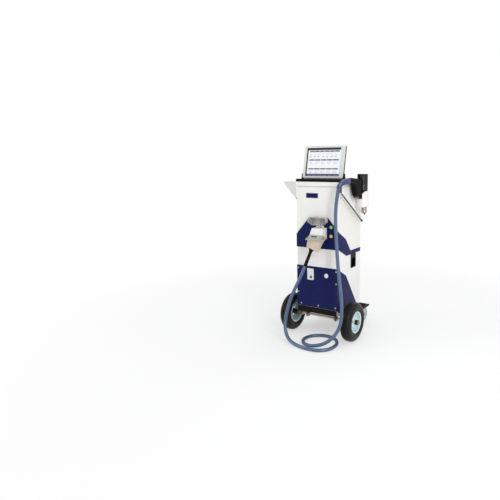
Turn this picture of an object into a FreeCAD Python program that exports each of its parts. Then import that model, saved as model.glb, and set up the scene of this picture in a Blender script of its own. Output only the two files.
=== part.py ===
import FreeCAD, Part
import math
import os

# Mobile spark emission spectrometer: a tall sheet-metal column on two pneumatic wheels and
# two casters, with a tilting display on top, a heavy plug-in connector on the front, and a
# spark probe with a pistol grip that hangs muzzle down in a holder on the right side.
# While it is built, X runs to the right, Y to the back and Z up; X = 0 is the middle of the
# column, Y = 0 its front face and Z = 0 the floor. All sizes are millimetres.

V = FreeCAD.Vector
OUT = "parts"

# Column
column_width = 300.0
column_depth = 350.0
column_corner = 5.0
sheet = 2.0
rear_flange = 16.0
seat_gap = 0.3

# Chassis under the column
floor_z = 168.0
floor_sheet = 3.0
apron_top = 208.0
apron_sheet = 2.5

# Shelf on top of the column
shelf_top_z = 1040.0
shelf_sheet = 2.5
shelf_lip = 26.0
shelf_left_overhang = 98.0
shelf_right_overhang = 32.0
wing_seam_offset = 16.5
hem_height = 9.0
gusset_height = 114.0
gusset_flange = 20.0

# Navy panels that wrap round the column
band_sheet = 3.0
band_bottom = 613.0
band_left_top = 700.0
band_right_top = 737.0
band_peak = 815.0
band_peak_left_inset = 97.0
band_peak_right_inset = 66.0
band_strip_bottom = 554.0
band_strip_top = 580.0
band_side_drop = 70.0
band_knee_y = 119.0
band_strip_start_y = 190.0
band_heel_y = 131.0
band_toe_y = 28.0
band_toe_drop = 7.0
band_back_margin = 4.0
cover_sheet = 2.5
cover_bottom = 210.0
cover_top = 489.0
cover_skirt_bottom = 186.0
cover_skirt_margin = 57.0
cover_shoulder_y = 44.0
cover_shoulder_drop = 23.0
cover_knee_y = 126.0
cover_knee_drop = 69.0
cover_toe_y = 30.0

# Axle and the two large wheels
axle_y = 66.0
axle_diameter = 16.0
axle_clearance = 0.1
wheel_track = 462.0
tyre_radius = 130.0
tyre_width = 76.0
tyre_wall = 9.0
bead_radius = 66.0
bead_width = 54.0
bead_height = 8.0
rim_sheet = 3.0
hub_radius = 17.0
hub_length = 78.0
hub_flange_radius = 27.0
axle_cap_length = 9.0
bracket_inset = 15.0
bracket_width = 54.0
bracket_sheet = 5.0
bracket_bottom = 112.0

# Rear outrigger and the two swivel casters
caster_plate_width = 84.0
caster_plate_depth = 76.0
caster_inset = 46.0
caster_axis_margin = 42.0
caster_trail = 28.0
caster_radius = 45.0
caster_tread = 8.0
caster_wheel_width = 22.0
caster_pin_diameter = 8.0
kingpin_diameter = 12.0
running_clearance = 0.04
fork_sheet = 3.0
outrigger_bottom = 120.0
outrigger_sheet = 4.0
outrigger_half = 178.0
outrigger_overlap = 50.0
outrigger_reach = 136.0

# Display, its base and hinge
base_margin = 8.0
base_front = 8.0
base_back = 186.0
base_height = 18.0
display_width = 300.0
display_height = 210.0
display_thickness = 18.0
display_below_hinge = 24.0
hinge_height = 26.6
hinge_y = 84.0
ear_gap = 1.0
hinge_pin_radius = 4.0
display_lean = 12.0
screen_width = 249.0
screen_height = 184.0
screen_depth = 3.0
screen_shift = -6.0
screen_rise = 19.0
ear_thickness = 5.0

# Pushbuttons on the band
button_inset = 40.0
green_z = 758.0
amber_z = 701.0
button_diameter = 22.0
button_bore = 22.8
bezel_diameter = 30.0
panel_hole = 24.4
bezel_height = 6.0
button_proud = 4.0
button_travel = 4.0
contact_block = 34.0

# Service flap with its quarter-turn latch, and the round port cap, on the lower cover
flap_inset = 104.0
flap_z = 435.5
flap_width = 49.0
flap_height = 77.0
flap_thickness = 4.0
latch_offset = 5.0
latch_z = 418.0
latch_diameter = 14.0
port_inset = 77.0
port_z = 437.0
port_cap_diameter = 30.0
port_bore = 18.4

# Recessed lifting handles in the two sides
handle_setback = 113.5
handle_drop = 1.0
handle_width = 77.0
handle_height = 98.0
handle_depth = 34.0
handle_rim = 6.5
handle_wall = 2.5

# Connector on the front: fixed socket housing, hinged cover, locking collar and plug
dock_inset = 73.0
dock_width = 79.0
dock_top = 752.0
dock_proud = 63.0
dock_reach_down = 42.0
dock_side_lean = 0.29
dock_front_lean = 0.184
dock_corner = 5.0
mate_inset = 44.0
mate_reach = 47.0
mate_drop = 50.0
socket_axis = V(0.0, -0.43, -0.90).normalize()
cable_axis = V(-0.27, -0.25, -0.93).normalize()
cable_offset = V(-28.6, -13.0, -82.4)
collar_width = 54.0
collar_height = 30.0
plug_seat = 6.0
plug_clearance = 0.5
plug_seat_left = 44.0
plug_seat_right = 42.0
plug_seat_half = 21.0
plug_mouth_left = 54.0
plug_mouth_right = 40.0
plug_mouth_half = 22.0
plug_end_left = 31.0
plug_end_right = 54.0
plug_end_half = 19.0
plug_corner = 5.0
collar_wall = 3.0
relief_length = 122.0
relief_root_radius = 16.0
lever_half = 59.0
lever_sheet = 3.0
lever_pin_radius = 4.0
lever_pivot_drop = 12.0
lug_width = 7.0
lug_inset = 6.0
lug_far_inset = 28.0
hood_rise = 6.5
hood_width = 134.0
hood_overhang = 9.0
hood_shoulder = 25.0
hood_top_inset_left = 14.0
hood_top_inset_right = 2.0
hood_foot_inset_left = 23.0
hood_foot_inset_right = 30.0
hood_rib_insets = (31.0, 82.0, 104.0)
hood_rib_depth = 9.0
hood_tab_inset = 54.0
hood_tab_width = 20.0
hood_tab_rise = 7.0
hood_wall = 2.5
hood_height = 52.0
hood_depth = 37.0
hood_back = 5.0
dock_hinge_y = -9.0
dock_hinge_rise = 6.0
dock_pin_radius = 1.5

# Hose
hose_diameter = 24.0

# Spark probe, hung muzzle down in its holder
probe_y = 210.0
probe_radius = 35.0
probe_top = 1090.0
probe_cap_bottom = 1025.0
probe_body_bottom = 976.0
probe_neck_radius = 19.0
probe_neck_shift = V(-4.0, -8.0, 0.0)
probe_head_radius = 34.0
holder_top = 930.0
holder_back_top = 980.0
holder_bottom = 875.0
holder_radius = 41.0
holder_wall = 3.5
holder_standoff = 1.0
nozzle_shift = V(14.0, 8.0, 0.0)
nozzle_radius = 15.0
nozzle_length = 34.0
tip_radius = 6.3
tip_length = 14.0
grip_length = 160.0
grip_slant = 0.118
grip_start_y = 186.0
grip_thickness = 34.0
grip_low = 948.0
grip_high = 1060.0
grip_neck = 15.0
grip_end_z = 1049.0
trigger_travel = 6.0
trigger_width = 14.0
trigger_length = 34.0
trigger_proud = 7.0
trigger_place = 62.0

# Side bracket that carries the holder
bracket_front_z = 973.0
bracket_back_z = 782.0
bracket_back_margin = 38.0
bracket_foot = 16.0
edging_depth = 4.5
stop_radius = 7.5
stop_length = 13.0

# Instruments inside, between the column's walls
frame_gap = 6.0
frame_post = 18.0
frame_sheet = 3.0
frame_front = 38.0
frame_back_gap = 10.0
lower_shelf_z = 430.0
upper_shelf_z = 762.0
optic_side_gap = 30.0
optic_front = 60.0
optic_back_gap = 40.0
optic_height = 220.0
optic_wall = 12.0
optic_corner = 60.0
optic_flange = 6.0
optic_lid = 10.0
source_front = 60.0
source_back_gap = 50.0
source_height = 207.0
source_fin_height = 40.0
source_gap = 12.0
supply_side_gap = 35.0
supply_front = 65.0
supply_back_gap = 35.0
supply_height = 209.0
case_wall = 3.0
fan_z = 905.0
fan_size = 120.0
fan_depth = 25.0
fan_hub = 20.0
fan_pin = 3.0


def box(x0, x1, y0, y1, z0, z1):
    return Part.makeBox(x1 - x0, y1 - y0, z1 - z0, V(x0, y0, z0))


def cyl(base, axis, radius, height):
    return Part.makeCylinder(radius, height, base, axis)


def prism(points, vector):
    """A polygon of 3-D points, pushed along a vector."""
    corners = [V(*p) for p in points]
    face = Part.Face(Part.makePolygon(corners + [corners[0]]))
    return face.extrude(vector)


def prism_x(points, x0, x1):
    """A (Y, Z) polygon between two X planes."""
    return prism([(x0, y, z) for y, z in points], V(x1 - x0, 0, 0))


def prism_y(points, y0, y1):
    """An (X, Z) polygon between two Y planes."""
    return prism([(x, y0, z) for x, z in points], V(0, y1 - y0, 0))


def prism_z(points, z0, z1):
    """An (X, Y) polygon between two Z planes."""
    return prism([(x, y, z0) for x, y in points], V(0, 0, z1 - z0))


def turned(profile, centre, axis_name):
    """A closed (along, radius) profile turned about X, Y or Z through a centre."""
    if axis_name == "X":
        points = [V(centre.x + a, centre.y, centre.z + r) for a, r in profile]
        axis = V(1, 0, 0)
    elif axis_name == "Y":
        points = [V(centre.x, centre.y + a, centre.z + r) for a, r in profile]
        axis = V(0, 1, 0)
    else:
        points = [V(centre.x + r, centre.y, centre.z + a) for a, r in profile]
        axis = V(0, 0, 1)
    face = Part.Face(Part.makePolygon(points + [points[0]]))
    return face.revolve(centre, axis, 360)


def round_edges(shape, radius, direction):
    """Fillets every straight edge that runs along a direction."""
    edges = []
    for edge in shape.Edges:
        if len(edge.Vertexes) != 2:
            continue
        run = edge.Vertexes[1].Point - edge.Vertexes[0].Point
        if run.Length > 0 and run.normalize().cross(direction).Length < 1e-6:
            edges.append(edge)
    return shape.makeFillet(radius, edges)


def fused(shapes):
    first = shapes[0]
    return first.fuse(shapes[1:]).removeSplitter()


def mirrored(shape):
    return shape.mirror(V(0, 0, 0), V(1, 0, 0))


def group(shapes):
    return Part.makeCompound(shapes)


half_width = column_width / 2
column_base = floor_z + floor_sheet
column_head = shelf_top_z - shelf_sheet
shelf_left = -half_width - shelf_left_overhang
shelf_right = half_width + shelf_right_overhang
shelf_front = -apron_sheet
shelf_back = column_depth + apron_sheet
wheel_x = wheel_track / 2
axle_z = tyre_radius
bracket_centre = half_width - bracket_inset
outrigger_front = column_depth - outrigger_overlap
outrigger_back = column_depth + outrigger_reach
caster_x = outrigger_half - caster_inset
caster_axis_y = outrigger_back - caster_axis_margin
button_x = half_width - button_inset
flap_x = -half_width + flap_inset
latch_x = flap_x + latch_offset
port_x = half_width - port_inset
handle_y = column_depth - handle_setback
handle_z = band_strip_bottom - handle_drop - handle_height / 2
bracket_back_y = column_depth - bracket_back_margin
bracket_diagonal_y = bracket_back_y - bracket_foot
probe_x = shelf_right + holder_radius + holder_standoff
base_half_width = display_width / 2 + ear_gap + ear_thickness + base_margin
dock_right = half_width - dock_inset
mate_point = V(dock_right - mate_inset, -mate_reach, dock_top - mate_drop)
cable_exit = mate_point + cable_offset
dock_hinge_z = dock_top + dock_hinge_rise


def handle_opening(side, margin):
    """The rounded hole in a side wall that a lifting handle sits in."""
    half_y = handle_width / 2 - handle_rim + margin
    half_z = handle_height / 2 - handle_rim + margin
    wall = box(half_width - 3, half_width + 3, handle_y - half_y, handle_y + half_y,
               handle_z - half_z, handle_z + half_z)
    wall = round_edges(wall, 8, V(1, 0, 0))
    return wall if side > 0 else mirrored(wall)


def panel_holes(y0, y1, extra):
    """Holes through the front for the two pushbuttons."""
    reach = y1 - y0
    radius = panel_hole / 2 + extra
    return [cyl(V(button_x, y0, z), V(0, 1, 0), radius, reach) for z in (green_z, amber_z)]


def flap_hole(y0, y1, margin):
    half_x = flap_width / 2 - 6 + margin
    half_z = flap_height / 2 - 6 + margin
    hole = box(flap_x - half_x, flap_x + half_x, y0, y1, flap_z - half_z, flap_z + half_z)
    return round_edges(hole, 4, V(0, 1, 0))


def make_column_shell():
    """Front and both sides in one folded sheet, open at the back, with rear flanges."""
    outer = box(-half_width, half_width, 0, column_depth, column_base, column_head)
    front_edges = []
    for edge in outer.Edges:
        middle = edge.CenterOfMass
        if abs(middle.y) < 1e-6 and abs(middle.z - (column_base + column_head) / 2) < 1e-6:
            front_edges.append(edge)
    outer = outer.makeFillet(column_corner, front_edges)
    inner = box(-half_width + sheet, half_width - sheet, sheet, column_depth + 1,
                column_base - 1, column_head + 1)
    shell = outer.cut(inner)
    flange_y = column_depth - 2 * sheet
    for x0 in (-half_width + sheet, half_width - sheet - rear_flange):
        flange = box(x0, x0 + rear_flange, flange_y, flange_y + sheet, column_base, column_head)
        shell = shell.fuse(flange)
    cuts = [handle_opening(1, 0.0), handle_opening(-1, 0.0), flap_hole(-1, sheet + 1, 0.0)]
    cuts += panel_holes(-1, sheet + 1, 0.0)
    cuts.append(cyl(V(port_x, -1, port_z), V(0, 1, 0), port_bore / 2, sheet + 2))
    return shell.cut(cuts).removeSplitter()


def make_rear_panel():
    """Flat back with a row of vent slots low down and a slotted grille over the fan."""
    panel = box(-half_width + sheet + seat_gap, half_width - sheet - seat_gap,
                column_depth - sheet, column_depth, column_base + seat_gap, column_head)
    slots = []
    slot_pitch = 12.0
    slot_half = 2.5
    vent_half = half_width - 60
    vent_low = column_base + 69
    front = column_depth - sheet - 1
    back = column_depth + 1
    for row in range(8):
        z = vent_low + row * slot_pitch
        slots.append(box(-vent_half, vent_half, front, back, z - slot_half, z + slot_half))
    grille_radius = fan_size / 2 - 6
    for row in range(-4, 5):
        z = row * slot_pitch
        half = math.sqrt(grille_radius ** 2 - z ** 2)
        slots.append(box(-half, half, front, back, fan_z + z - slot_half, fan_z + z + slot_half))
    return panel.cut(slots)


def make_base_chassis():
    """Black floor tray under the column, with an apron turned up at the front."""
    floor = box(-half_width, half_width, -apron_sheet, column_depth, floor_z, column_base)
    apron = box(-half_width, half_width, -apron_sheet, 0, floor_z, apron_top)
    return fused([floor, apron])


def make_outrigger():
    """Folded carrier behind and below the column for the two casters."""
    lift = outrigger_bottom + outrigger_sheet
    plate = box(-outrigger_half, outrigger_half, outrigger_front, outrigger_back,
                outrigger_bottom, lift)
    plate = round_edges(plate, 18, V(0, 0, 1))
    web = box(-outrigger_half + 18, outrigger_half - 18, outrigger_front,
              outrigger_front + outrigger_sheet, lift, floor_z)
    top = box(-half_width + 6, half_width - 6, outrigger_front - 40,
              outrigger_front + outrigger_sheet, floor_z - outrigger_sheet, floor_z)
    cheek = prism_x([(outrigger_front + 2, lift), (outrigger_front + 2, floor_z),
                     (column_depth - 2, floor_z), (outrigger_back - 22, lift + 8),
                     (outrigger_back - 22, lift)], half_width - outrigger_sheet - 6, half_width - 6)
    holes = [cyl(V(s * caster_x, caster_axis_y, outrigger_bottom - 1), V(0, 0, 1),
                 kingpin_diameter / 2 + 2, outrigger_sheet + 2) for s in (-1, 1)]
    return fused([plate, web, top, cheek, mirrored(cheek)]).cut(holes)


def make_axle_bracket():
    """Right-hand U bracket under the floor tray: a top plate and two tapered cheeks."""
    x0 = bracket_centre - bracket_width / 2
    x1 = bracket_centre + bracket_width / 2
    top = box(x0, x1, axle_y - 30, axle_y + 30, floor_z - bracket_sheet, floor_z)
    outline = [(axle_y - 30, floor_z - bracket_sheet), (axle_y + 30, floor_z - bracket_sheet),
               (axle_y + 16, bracket_bottom), (axle_y - 16, bracket_bottom)]
    cheeks = [prism_x(outline, x, x + bracket_sheet) for x in (x0, x1 - bracket_sheet)]
    cheeks = [round_edges(c, 8, V(1, 0, 0)) for c in cheeks]
    bore = cyl(V(x0 - 5, axle_y, axle_z), V(1, 0, 0), axle_diameter / 2 + axle_clearance,
               bracket_width + 10)
    bosses = []
    for x, reach in ((x0 + bracket_sheet, 6.0), (x1 - bracket_sheet - 6.0, 6.0)):
        bosses.append(cyl(V(x, axle_y, axle_z), V(1, 0, 0), axle_diameter / 2 + 6, reach))
    return fused([top] + cheeks + bosses).cut(bore)


axle_reach = wheel_x + hub_length / 2 + 2


def make_axle():
    rod = cyl(V(-axle_reach, axle_y, axle_z), V(1, 0, 0), axle_diameter / 2, 2 * axle_reach)
    return rod.makeChamfer(1, [e for e in rod.Edges if len(e.Vertexes) == 1])


def make_axle_caps():
    """Pressed caps that close the two hub ends and keep the wheels on the axle."""
    clear = 0.3
    start = wheel_x + hub_length / 2 + clear
    depth = axle_reach - start
    bore = axle_diameter / 2 + axle_clearance
    profile = [(0, bore), (0, 13), (axle_cap_length - 2, 13), (axle_cap_length, 10),
               (axle_cap_length, 0), (depth + clear, 0), (depth + clear, bore)]
    cap = turned(profile, V(start, axle_y, axle_z), "X")
    return [cap, mirrored(cap)]


def make_spacers():
    """Tube spacers between the brackets and the wheel hubs, and split collars inside."""
    clear = 0.3
    x0 = bracket_centre + bracket_width / 2 + clear
    x1 = wheel_x - hub_length / 2 - clear
    bore = axle_diameter / 2 + axle_clearance
    spacer = turned([(x0, bore), (x0, 13), (x1, 13), (x1, bore)], V(0, axle_y, axle_z), "X")
    inner = bracket_centre - bracket_width / 2 - clear
    collar = turned([(inner - 10, bore), (inner - 10, 15), (inner, 15), (inner, bore)],
                    V(0, axle_y, axle_z), "X")
    return [spacer, mirrored(spacer), collar, mirrored(collar)]


def make_tyre():
    """Pneumatic tyre with rounded side walls, open towards the rim, and a ribbed tread."""
    centre = V(wheel_x, axle_y, axle_z)
    half = tyre_width / 2
    bead = bead_width / 2
    bulge_radius = 97.0
    crown = 18.0

    def half_profile(inset):
        """One side from the bead to the crown: bead, arc round the wall, arc to the crown."""
        low = V(centre.x + bead - inset, centre.y, centre.z + bead_radius)
        rise = V(low.x, centre.y, centre.z + bead_radius + bead_height)
        wall = V(centre.x + half - inset, centre.y, centre.z + bulge_radius)
        low_mid = V(centre.x + half - inset - 4, centre.y, centre.z + bead_radius + 17)
        shoulder = V(centre.x + half - inset - 9, centre.y, centre.z + tyre_radius - 9 - inset * 0.8)
        top = V(centre.x + crown - inset * 0.2, centre.y, centre.z + tyre_radius - 1.5 - inset)
        return low, rise, low_mid, wall, shoulder, top

    low, rise, low_mid, wall, shoulder, top = half_profile(0.0)
    low2, rise2, low_mid2, wall2, shoulder2, top2 = half_profile(tyre_wall)
    crown_point = V(centre.x, centre.y, centre.z + tyre_radius)
    crown_inner = V(centre.x, centre.y, centre.z + tyre_radius - tyre_wall - 2)

    def flip(p):
        return V(2 * centre.x - p.x, p.y, p.z)

    edges = [
        Part.LineSegment(low2, low).toShape(),
        Part.LineSegment(low, rise).toShape(),
        Part.Arc(rise, low_mid, wall).toShape(),
        Part.Arc(wall, shoulder, top).toShape(),
        Part.Arc(top, crown_point, flip(top)).toShape(),
        Part.Arc(flip(top), flip(shoulder), flip(wall)).toShape(),
        Part.Arc(flip(wall), flip(low_mid), flip(rise)).toShape(),
        Part.LineSegment(flip(rise), flip(low)).toShape(),
        Part.LineSegment(flip(low), flip(low2)).toShape(),
        Part.LineSegment(flip(low2), flip(rise2)).toShape(),
        Part.Arc(flip(rise2), flip(low_mid2), flip(wall2)).toShape(),
        Part.Arc(flip(wall2), flip(shoulder2), flip(top2)).toShape(),
        Part.Arc(flip(top2), crown_inner, top2).toShape(),
        Part.Arc(top2, shoulder2, wall2).toShape(),
        Part.Arc(wall2, low_mid2, rise2).toShape(),
        Part.LineSegment(rise2, low2).toShape(),
    ]
    tyre = Part.Face(Part.Wire(edges)).revolve(centre, V(1, 0, 0), 360)
    groove_depth = 3.0
    grooves = []
    for x in (-16.0, 0.0, 16.0):
        ring = turned([(x - 2, tyre_radius - groove_depth), (x - 2, tyre_radius + 2),
                       (x + 2, tyre_radius + 2), (x + 2, tyre_radius - groove_depth)], centre, "X")
        grooves.append(ring)
    return tyre.cut(grooves)


rim_disc_x = 12.0
bolt_circle = 42.0


def make_rim():
    """Pressed steel rim: a channel for the tyre and a dished disc with five bolt holes."""
    centre = V(wheel_x, axle_y, axle_z)
    seat = bead_radius - 0.3
    half = bead_width / 2
    lip = half + 4
    rise = seat + bead_height - 1
    channel = turned([(-lip, rise), (-half - 0.3, rise), (-half - 0.3, seat), (half + 0.3, seat),
                      (half + 0.3, rise), (lip, rise), (lip, rise - 3),
                      (half + 1, seat - rim_sheet), (-half - 1, seat - rim_sheet),
                      (-lip, rise - 3)], centre, "X")
    inner = seat - rim_sheet
    disc = turned([(rim_disc_x, inner + 0.5), (rim_disc_x + 8, hub_flange_radius + 8),
                   (rim_disc_x + 8, hub_radius + 0.3), (rim_disc_x + 8 + rim_sheet, hub_radius + 0.3),
                   (rim_disc_x + 8 + rim_sheet, hub_flange_radius + 10),
                   (rim_disc_x + rim_sheet, inner + 0.5)], centre, "X")
    holes = []
    for turn in range(5):
        angle = math.radians(90 + 72 * turn)
        spot = V(centre.x, centre.y + bolt_circle * math.cos(angle),
                 centre.z + bolt_circle * math.sin(angle))
        holes.append(cyl(spot, V(1, 0, 0), 5.5, 40))
    return fused([channel, disc]).cut(holes)


def make_hub():
    """Hub tube with a flange behind the disc; its bore runs on the axle."""
    centre = V(wheel_x, axle_y, axle_z)
    bore = axle_diameter / 2 + running_clearance
    half = hub_length / 2
    seat = rim_disc_x + 8 - 0.3
    return turned([(-half, bore), (-half, hub_radius), (seat - 5, hub_radius),
                   (seat - 5, hub_flange_radius), (seat, hub_flange_radius), (seat, hub_radius),
                   (half, hub_radius), (half, bore)], centre, "X")


plate_z = outrigger_bottom
plate_sheet = 4.0
race_height = 12.7
fork_top = plate_z - plate_sheet - seat_gap - race_height


def make_caster_plates():
    """Two top plates with their kingpins."""
    plates = []
    for side in (-1, 1):
        x = side * caster_x
        half_x = caster_plate_width / 2
        half_y = caster_plate_depth / 2
        plate = box(x - half_x, x + half_x, caster_axis_y - half_y, caster_axis_y + half_y,
                    plate_z - plate_sheet, plate_z)
        plate = round_edges(plate, 8, V(0, 0, 1))
        pin_low = fork_top - 6
        pin = cyl(V(x, caster_axis_y, pin_low), V(0, 0, 1), kingpin_diameter / 2,
                  plate_z + outrigger_sheet + 4 - pin_low)
        nut = Part.makeCylinder(kingpin_diameter / 2 + 1.7, outrigger_sheet - 1,
                                V(x, caster_axis_y, plate_z), V(0, 0, 1))
        plates.append(fused([plate, pin, nut]))
    return group(plates)


def make_caster_fork(side):
    """Swivel race and two fork legs, with the wheel bolt as a second solid."""
    x = side * caster_x
    wheel_y = caster_axis_y + caster_trail
    gap = caster_wheel_width / 2 + 2.5
    race = turned([(fork_top, kingpin_diameter / 2 + running_clearance), (fork_top, 27),
                   (fork_top + 6, 27), (fork_top + race_height, 22),
                   (fork_top + race_height, kingpin_diameter / 2 + running_clearance)],
                  V(x, caster_axis_y, 0), "Z")
    crown = prism_z([(x - gap - fork_sheet, caster_axis_y - 26),
                     (x + gap + fork_sheet, caster_axis_y - 26),
                     (x + gap + fork_sheet, wheel_y + 14), (x - gap - fork_sheet, wheel_y + 14)],
                    fork_top - fork_sheet, fork_top)
    crown = crown.cut(cyl(V(x, caster_axis_y, fork_top - 10), V(0, 0, 1),
                          kingpin_diameter / 2 + running_clearance, 20))
    legs = []
    for x0 in (x - gap - fork_sheet, x + gap):
        outline = [(caster_axis_y - 26, fork_top), (wheel_y + 14, fork_top),
                   (wheel_y + 13, caster_radius - 8), (wheel_y, caster_radius - 14),
                   (wheel_y - 13, caster_radius - 8), (caster_axis_y - 26, fork_top - 16)]
        legs.append(prism_x(outline, x0, x0 + fork_sheet))
    hole = cyl(V(x - 40, wheel_y, caster_radius), V(1, 0, 0),
               caster_pin_diameter / 2 + running_clearance, 80)
    fork = fused([race, crown] + legs).cut(hole)
    reach = gap + fork_sheet
    head = 5.0
    pin = cyl(V(x - reach - head, wheel_y, caster_radius), V(1, 0, 0), caster_pin_diameter / 2,
              2 * reach + 2 * head)
    for start in (x - reach - head - 0.1, x + reach + 0.1):
        pin = pin.fuse(cyl(V(start, wheel_y, caster_radius), V(1, 0, 0), 6.5, head))
    return group([fork, pin.removeSplitter()])


def make_caster_core(side):
    centre = V(side * caster_x, caster_axis_y + caster_trail, caster_radius)
    half = caster_wheel_width / 2
    bore = caster_pin_diameter / 2 + running_clearance
    rim = caster_radius - caster_tread - 0.2
    return turned([(-half - 1.5, bore), (-half - 1.5, 10), (-4, 12), (-4, rim - 7),
                   (-half, rim - 4), (-half, rim), (half, rim), (half, rim - 4), (4, rim - 7),
                   (4, 12), (half + 1.5, 10), (half + 1.5, bore)], centre, "X")


def make_caster_tread(side):
    centre = V(side * caster_x, caster_axis_y + caster_trail, caster_radius)
    half = caster_wheel_width / 2
    low = caster_radius - caster_tread
    return turned([(-half, low), (-half, caster_radius - 4), (-half + 4, caster_radius),
                   (half - 4, caster_radius), (half, caster_radius - 4), (half, low)], centre, "X")


def make_lower_cover():
    """Navy cover: a front plate and two side skirts that narrow towards the back."""
    outer = half_width + cover_sheet
    front = box(-outer, outer, -cover_sheet, 0, cover_bottom, cover_top)
    skirt = [(-cover_sheet, cover_bottom), (-cover_sheet, cover_top),
             (cover_shoulder_y, cover_top - cover_shoulder_drop),
             (cover_knee_y, cover_top - cover_knee_drop),
             (column_depth - cover_skirt_margin, cover_skirt_bottom),
             (cover_toe_y, cover_skirt_bottom)]
    right = prism_x(skirt, half_width, outer)
    cuts = [flap_hole(-10, 10, 0.0),
            cyl(V(port_x, -10, port_z), V(0, 1, 0), port_bore / 2, 20)]
    return fused([front, right, mirrored(right)]).cut(cuts)


screw_inset = 7.0
screw_spots = ((half_width - 5, cover_top - 99), (-half_width + screw_inset, cover_bottom + 94),
               (-half_width + 28, cover_bottom + 15), (11.0, cover_bottom + 15),
               (half_width - 10, cover_bottom + 17), (-half_width + screw_inset, cover_top - 19),
               (half_width - screw_inset, cover_top - 19))


def make_cover_screws():
    """Round-headed screws that hold the lower cover."""
    heads = []
    for x, z in screw_spots:
        head = turned([(0, 0), (0, 5.5), (-1.6, 5), (-3, 2.6), (-3.2, 0)],
                      V(x, -cover_sheet, z), "Y")
        heads.append(head)
    return group(heads)


def make_mid_band():
    """Navy band with a peaked front, folded round to the back edge of both sides."""
    outer = half_width + band_sheet
    front = prism_y([(-outer, band_bottom), (-outer, band_left_top),
                     (-half_width + band_peak_left_inset, band_peak),
                     (half_width - band_peak_right_inset, band_peak),
                     (outer, band_right_top), (outer, band_bottom)], -band_sheet, 0)

    def side_outline(corner_top):
        back = column_depth - band_back_margin
        return [(-band_sheet, band_bottom), (-band_sheet, corner_top),
                (band_knee_y, corner_top - band_side_drop), (band_strip_start_y, band_strip_top),
                (back, band_strip_top), (back, band_strip_bottom),
                (band_heel_y, band_strip_bottom), (band_toe_y, band_bottom - band_toe_drop)]

    right = prism_x(side_outline(band_right_top), half_width, outer)
    left = mirrored(prism_x(side_outline(band_left_top), half_width, outer))
    return fused([front, right, left]).cut(panel_holes(-10, 10, 0.0))


def make_button_bodies():
    """Bezel, threaded neck and contact block of each pushbutton, in one solid."""
    bodies = []
    face = -band_sheet
    for z in (green_z, amber_z):
        bezel = turned([(face, button_bore / 2), (face, bezel_diameter / 2),
                        (face - bezel_height + 2, bezel_diameter / 2),
                        (face - bezel_height, bezel_diameter / 2 - 2),
                        (face - bezel_height, button_bore / 2)], V(button_x, 0, z), "Y")
        neck = turned([(face - 1, button_bore / 2), (face - 1, panel_hole / 2 - 0.3),
                       (sheet + 4, panel_hole / 2 - 0.3), (sheet + 4, button_bore / 2)],
                      V(button_x, 0, z), "Y")
        half = contact_block / 2
        block = box(button_x - half + 3, button_x + half - 3, sheet + 0.3, 32, z - half + 3, z + half - 3)
        well = cyl(V(button_x, -20, z), V(0, 1, 0), button_bore / 2, 36)
        bodies.append(fused([bezel, neck, block]).cut(well))
    return group(bodies)


def make_button(z):
    """Domed pushbutton cap with its stem."""
    face = -band_sheet
    front = face - bezel_height - button_proud
    radius = button_diameter / 2
    return turned([(front, 0), (front + 0.6, radius - 4), (front + 2.4, radius - 0.8),
                   (front + 4, radius), (face + 1, radius), (face + 1, 5), (9, 5), (9, 0)],
                  V(button_x, 0, z), "Y")


flap_face = -cover_sheet - seat_gap
flap_hinge_x = flap_x - flap_width / 2 + flap_thickness / 2
flap_hinge_y = flap_face - flap_thickness / 2


def make_service_flap():
    """Light grey flap with a rolled hinge edge on its left and a hole for the latch."""
    x1 = flap_x + flap_width / 2
    low = flap_z - flap_height / 2
    plate = box(flap_hinge_x, x1, flap_face - flap_thickness, flap_face, low, low + flap_height)
    right_edges = [e for e in plate.Edges
                   if abs(e.CenterOfMass.x - x1) < 1e-6 and abs(e.CenterOfMass.y - flap_hinge_y) < 1e-6]
    plate = plate.makeFillet(7, right_edges)
    roll = cyl(V(flap_hinge_x, flap_hinge_y, low), V(0, 0, 1), flap_thickness / 2, flap_height)
    hole = cyl(V(latch_x, -20, latch_z), V(0, 1, 0), latch_diameter / 2 - 2.9, 40)
    return fused([plate, roll]).cut(hole)


def make_flap_latch():
    """Black quarter-turn latch: a slotted knob outside and a tongue behind the flap."""
    outside = flap_face - flap_thickness - 0.3
    radius = latch_diameter / 2
    knob = turned([(outside, 0), (outside, radius), (outside - 3, radius), (outside - 4, radius - 1),
                   (outside - 4, 0)], V(latch_x, 0, latch_z), "Y")
    slot = box(latch_x - 1.2, latch_x + 1.2, outside - 5, outside - 2, latch_z - radius, latch_z + radius)
    tongue_front = sheet + 0.4
    stem = cyl(V(latch_x, outside, latch_z), V(0, 1, 0), radius - 3, tongue_front - outside + 0.5)
    tongue_reach = flap_x + flap_width / 2 - 3.6 - latch_x
    tongue = box(latch_x - 4, latch_x + tongue_reach, tongue_front, tongue_front + 1.8,
                 latch_z - 4, latch_z + 4)
    return fused([knob.cut(slot), stem, tongue])


def make_service_panel():
    """Shallow black box behind the flap, with two data sockets and a fuse cap."""
    half_x = flap_width / 2
    half_z = flap_height / 2
    back = 34.0
    outer = box(flap_x - half_x, flap_x + half_x, sheet + 0.2, back, flap_z - half_z, flap_z + half_z)
    inner = box(flap_x - half_x + 3, flap_x + half_x - 3, sheet - 1, back - 3,
                flap_z - half_z + 3, flap_z + half_z - 3)
    sockets = []
    for z in (flap_z + 12.5, flap_z + 26.5):
        socket = box(flap_x - 9, flap_x + 9, back - 12, back - 2, z - 4, z + 4)
        sockets.append(socket.cut(box(flap_x - 7, flap_x + 7, back - 13, back - 6, z - 2, z + 2)))
    cap = cyl(V(flap_x + 4, back - 12, flap_z - 11.5), V(0, 1, 0), 8, 10)
    return fused([outer.cut(inner)] + sockets + [cap])


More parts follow.
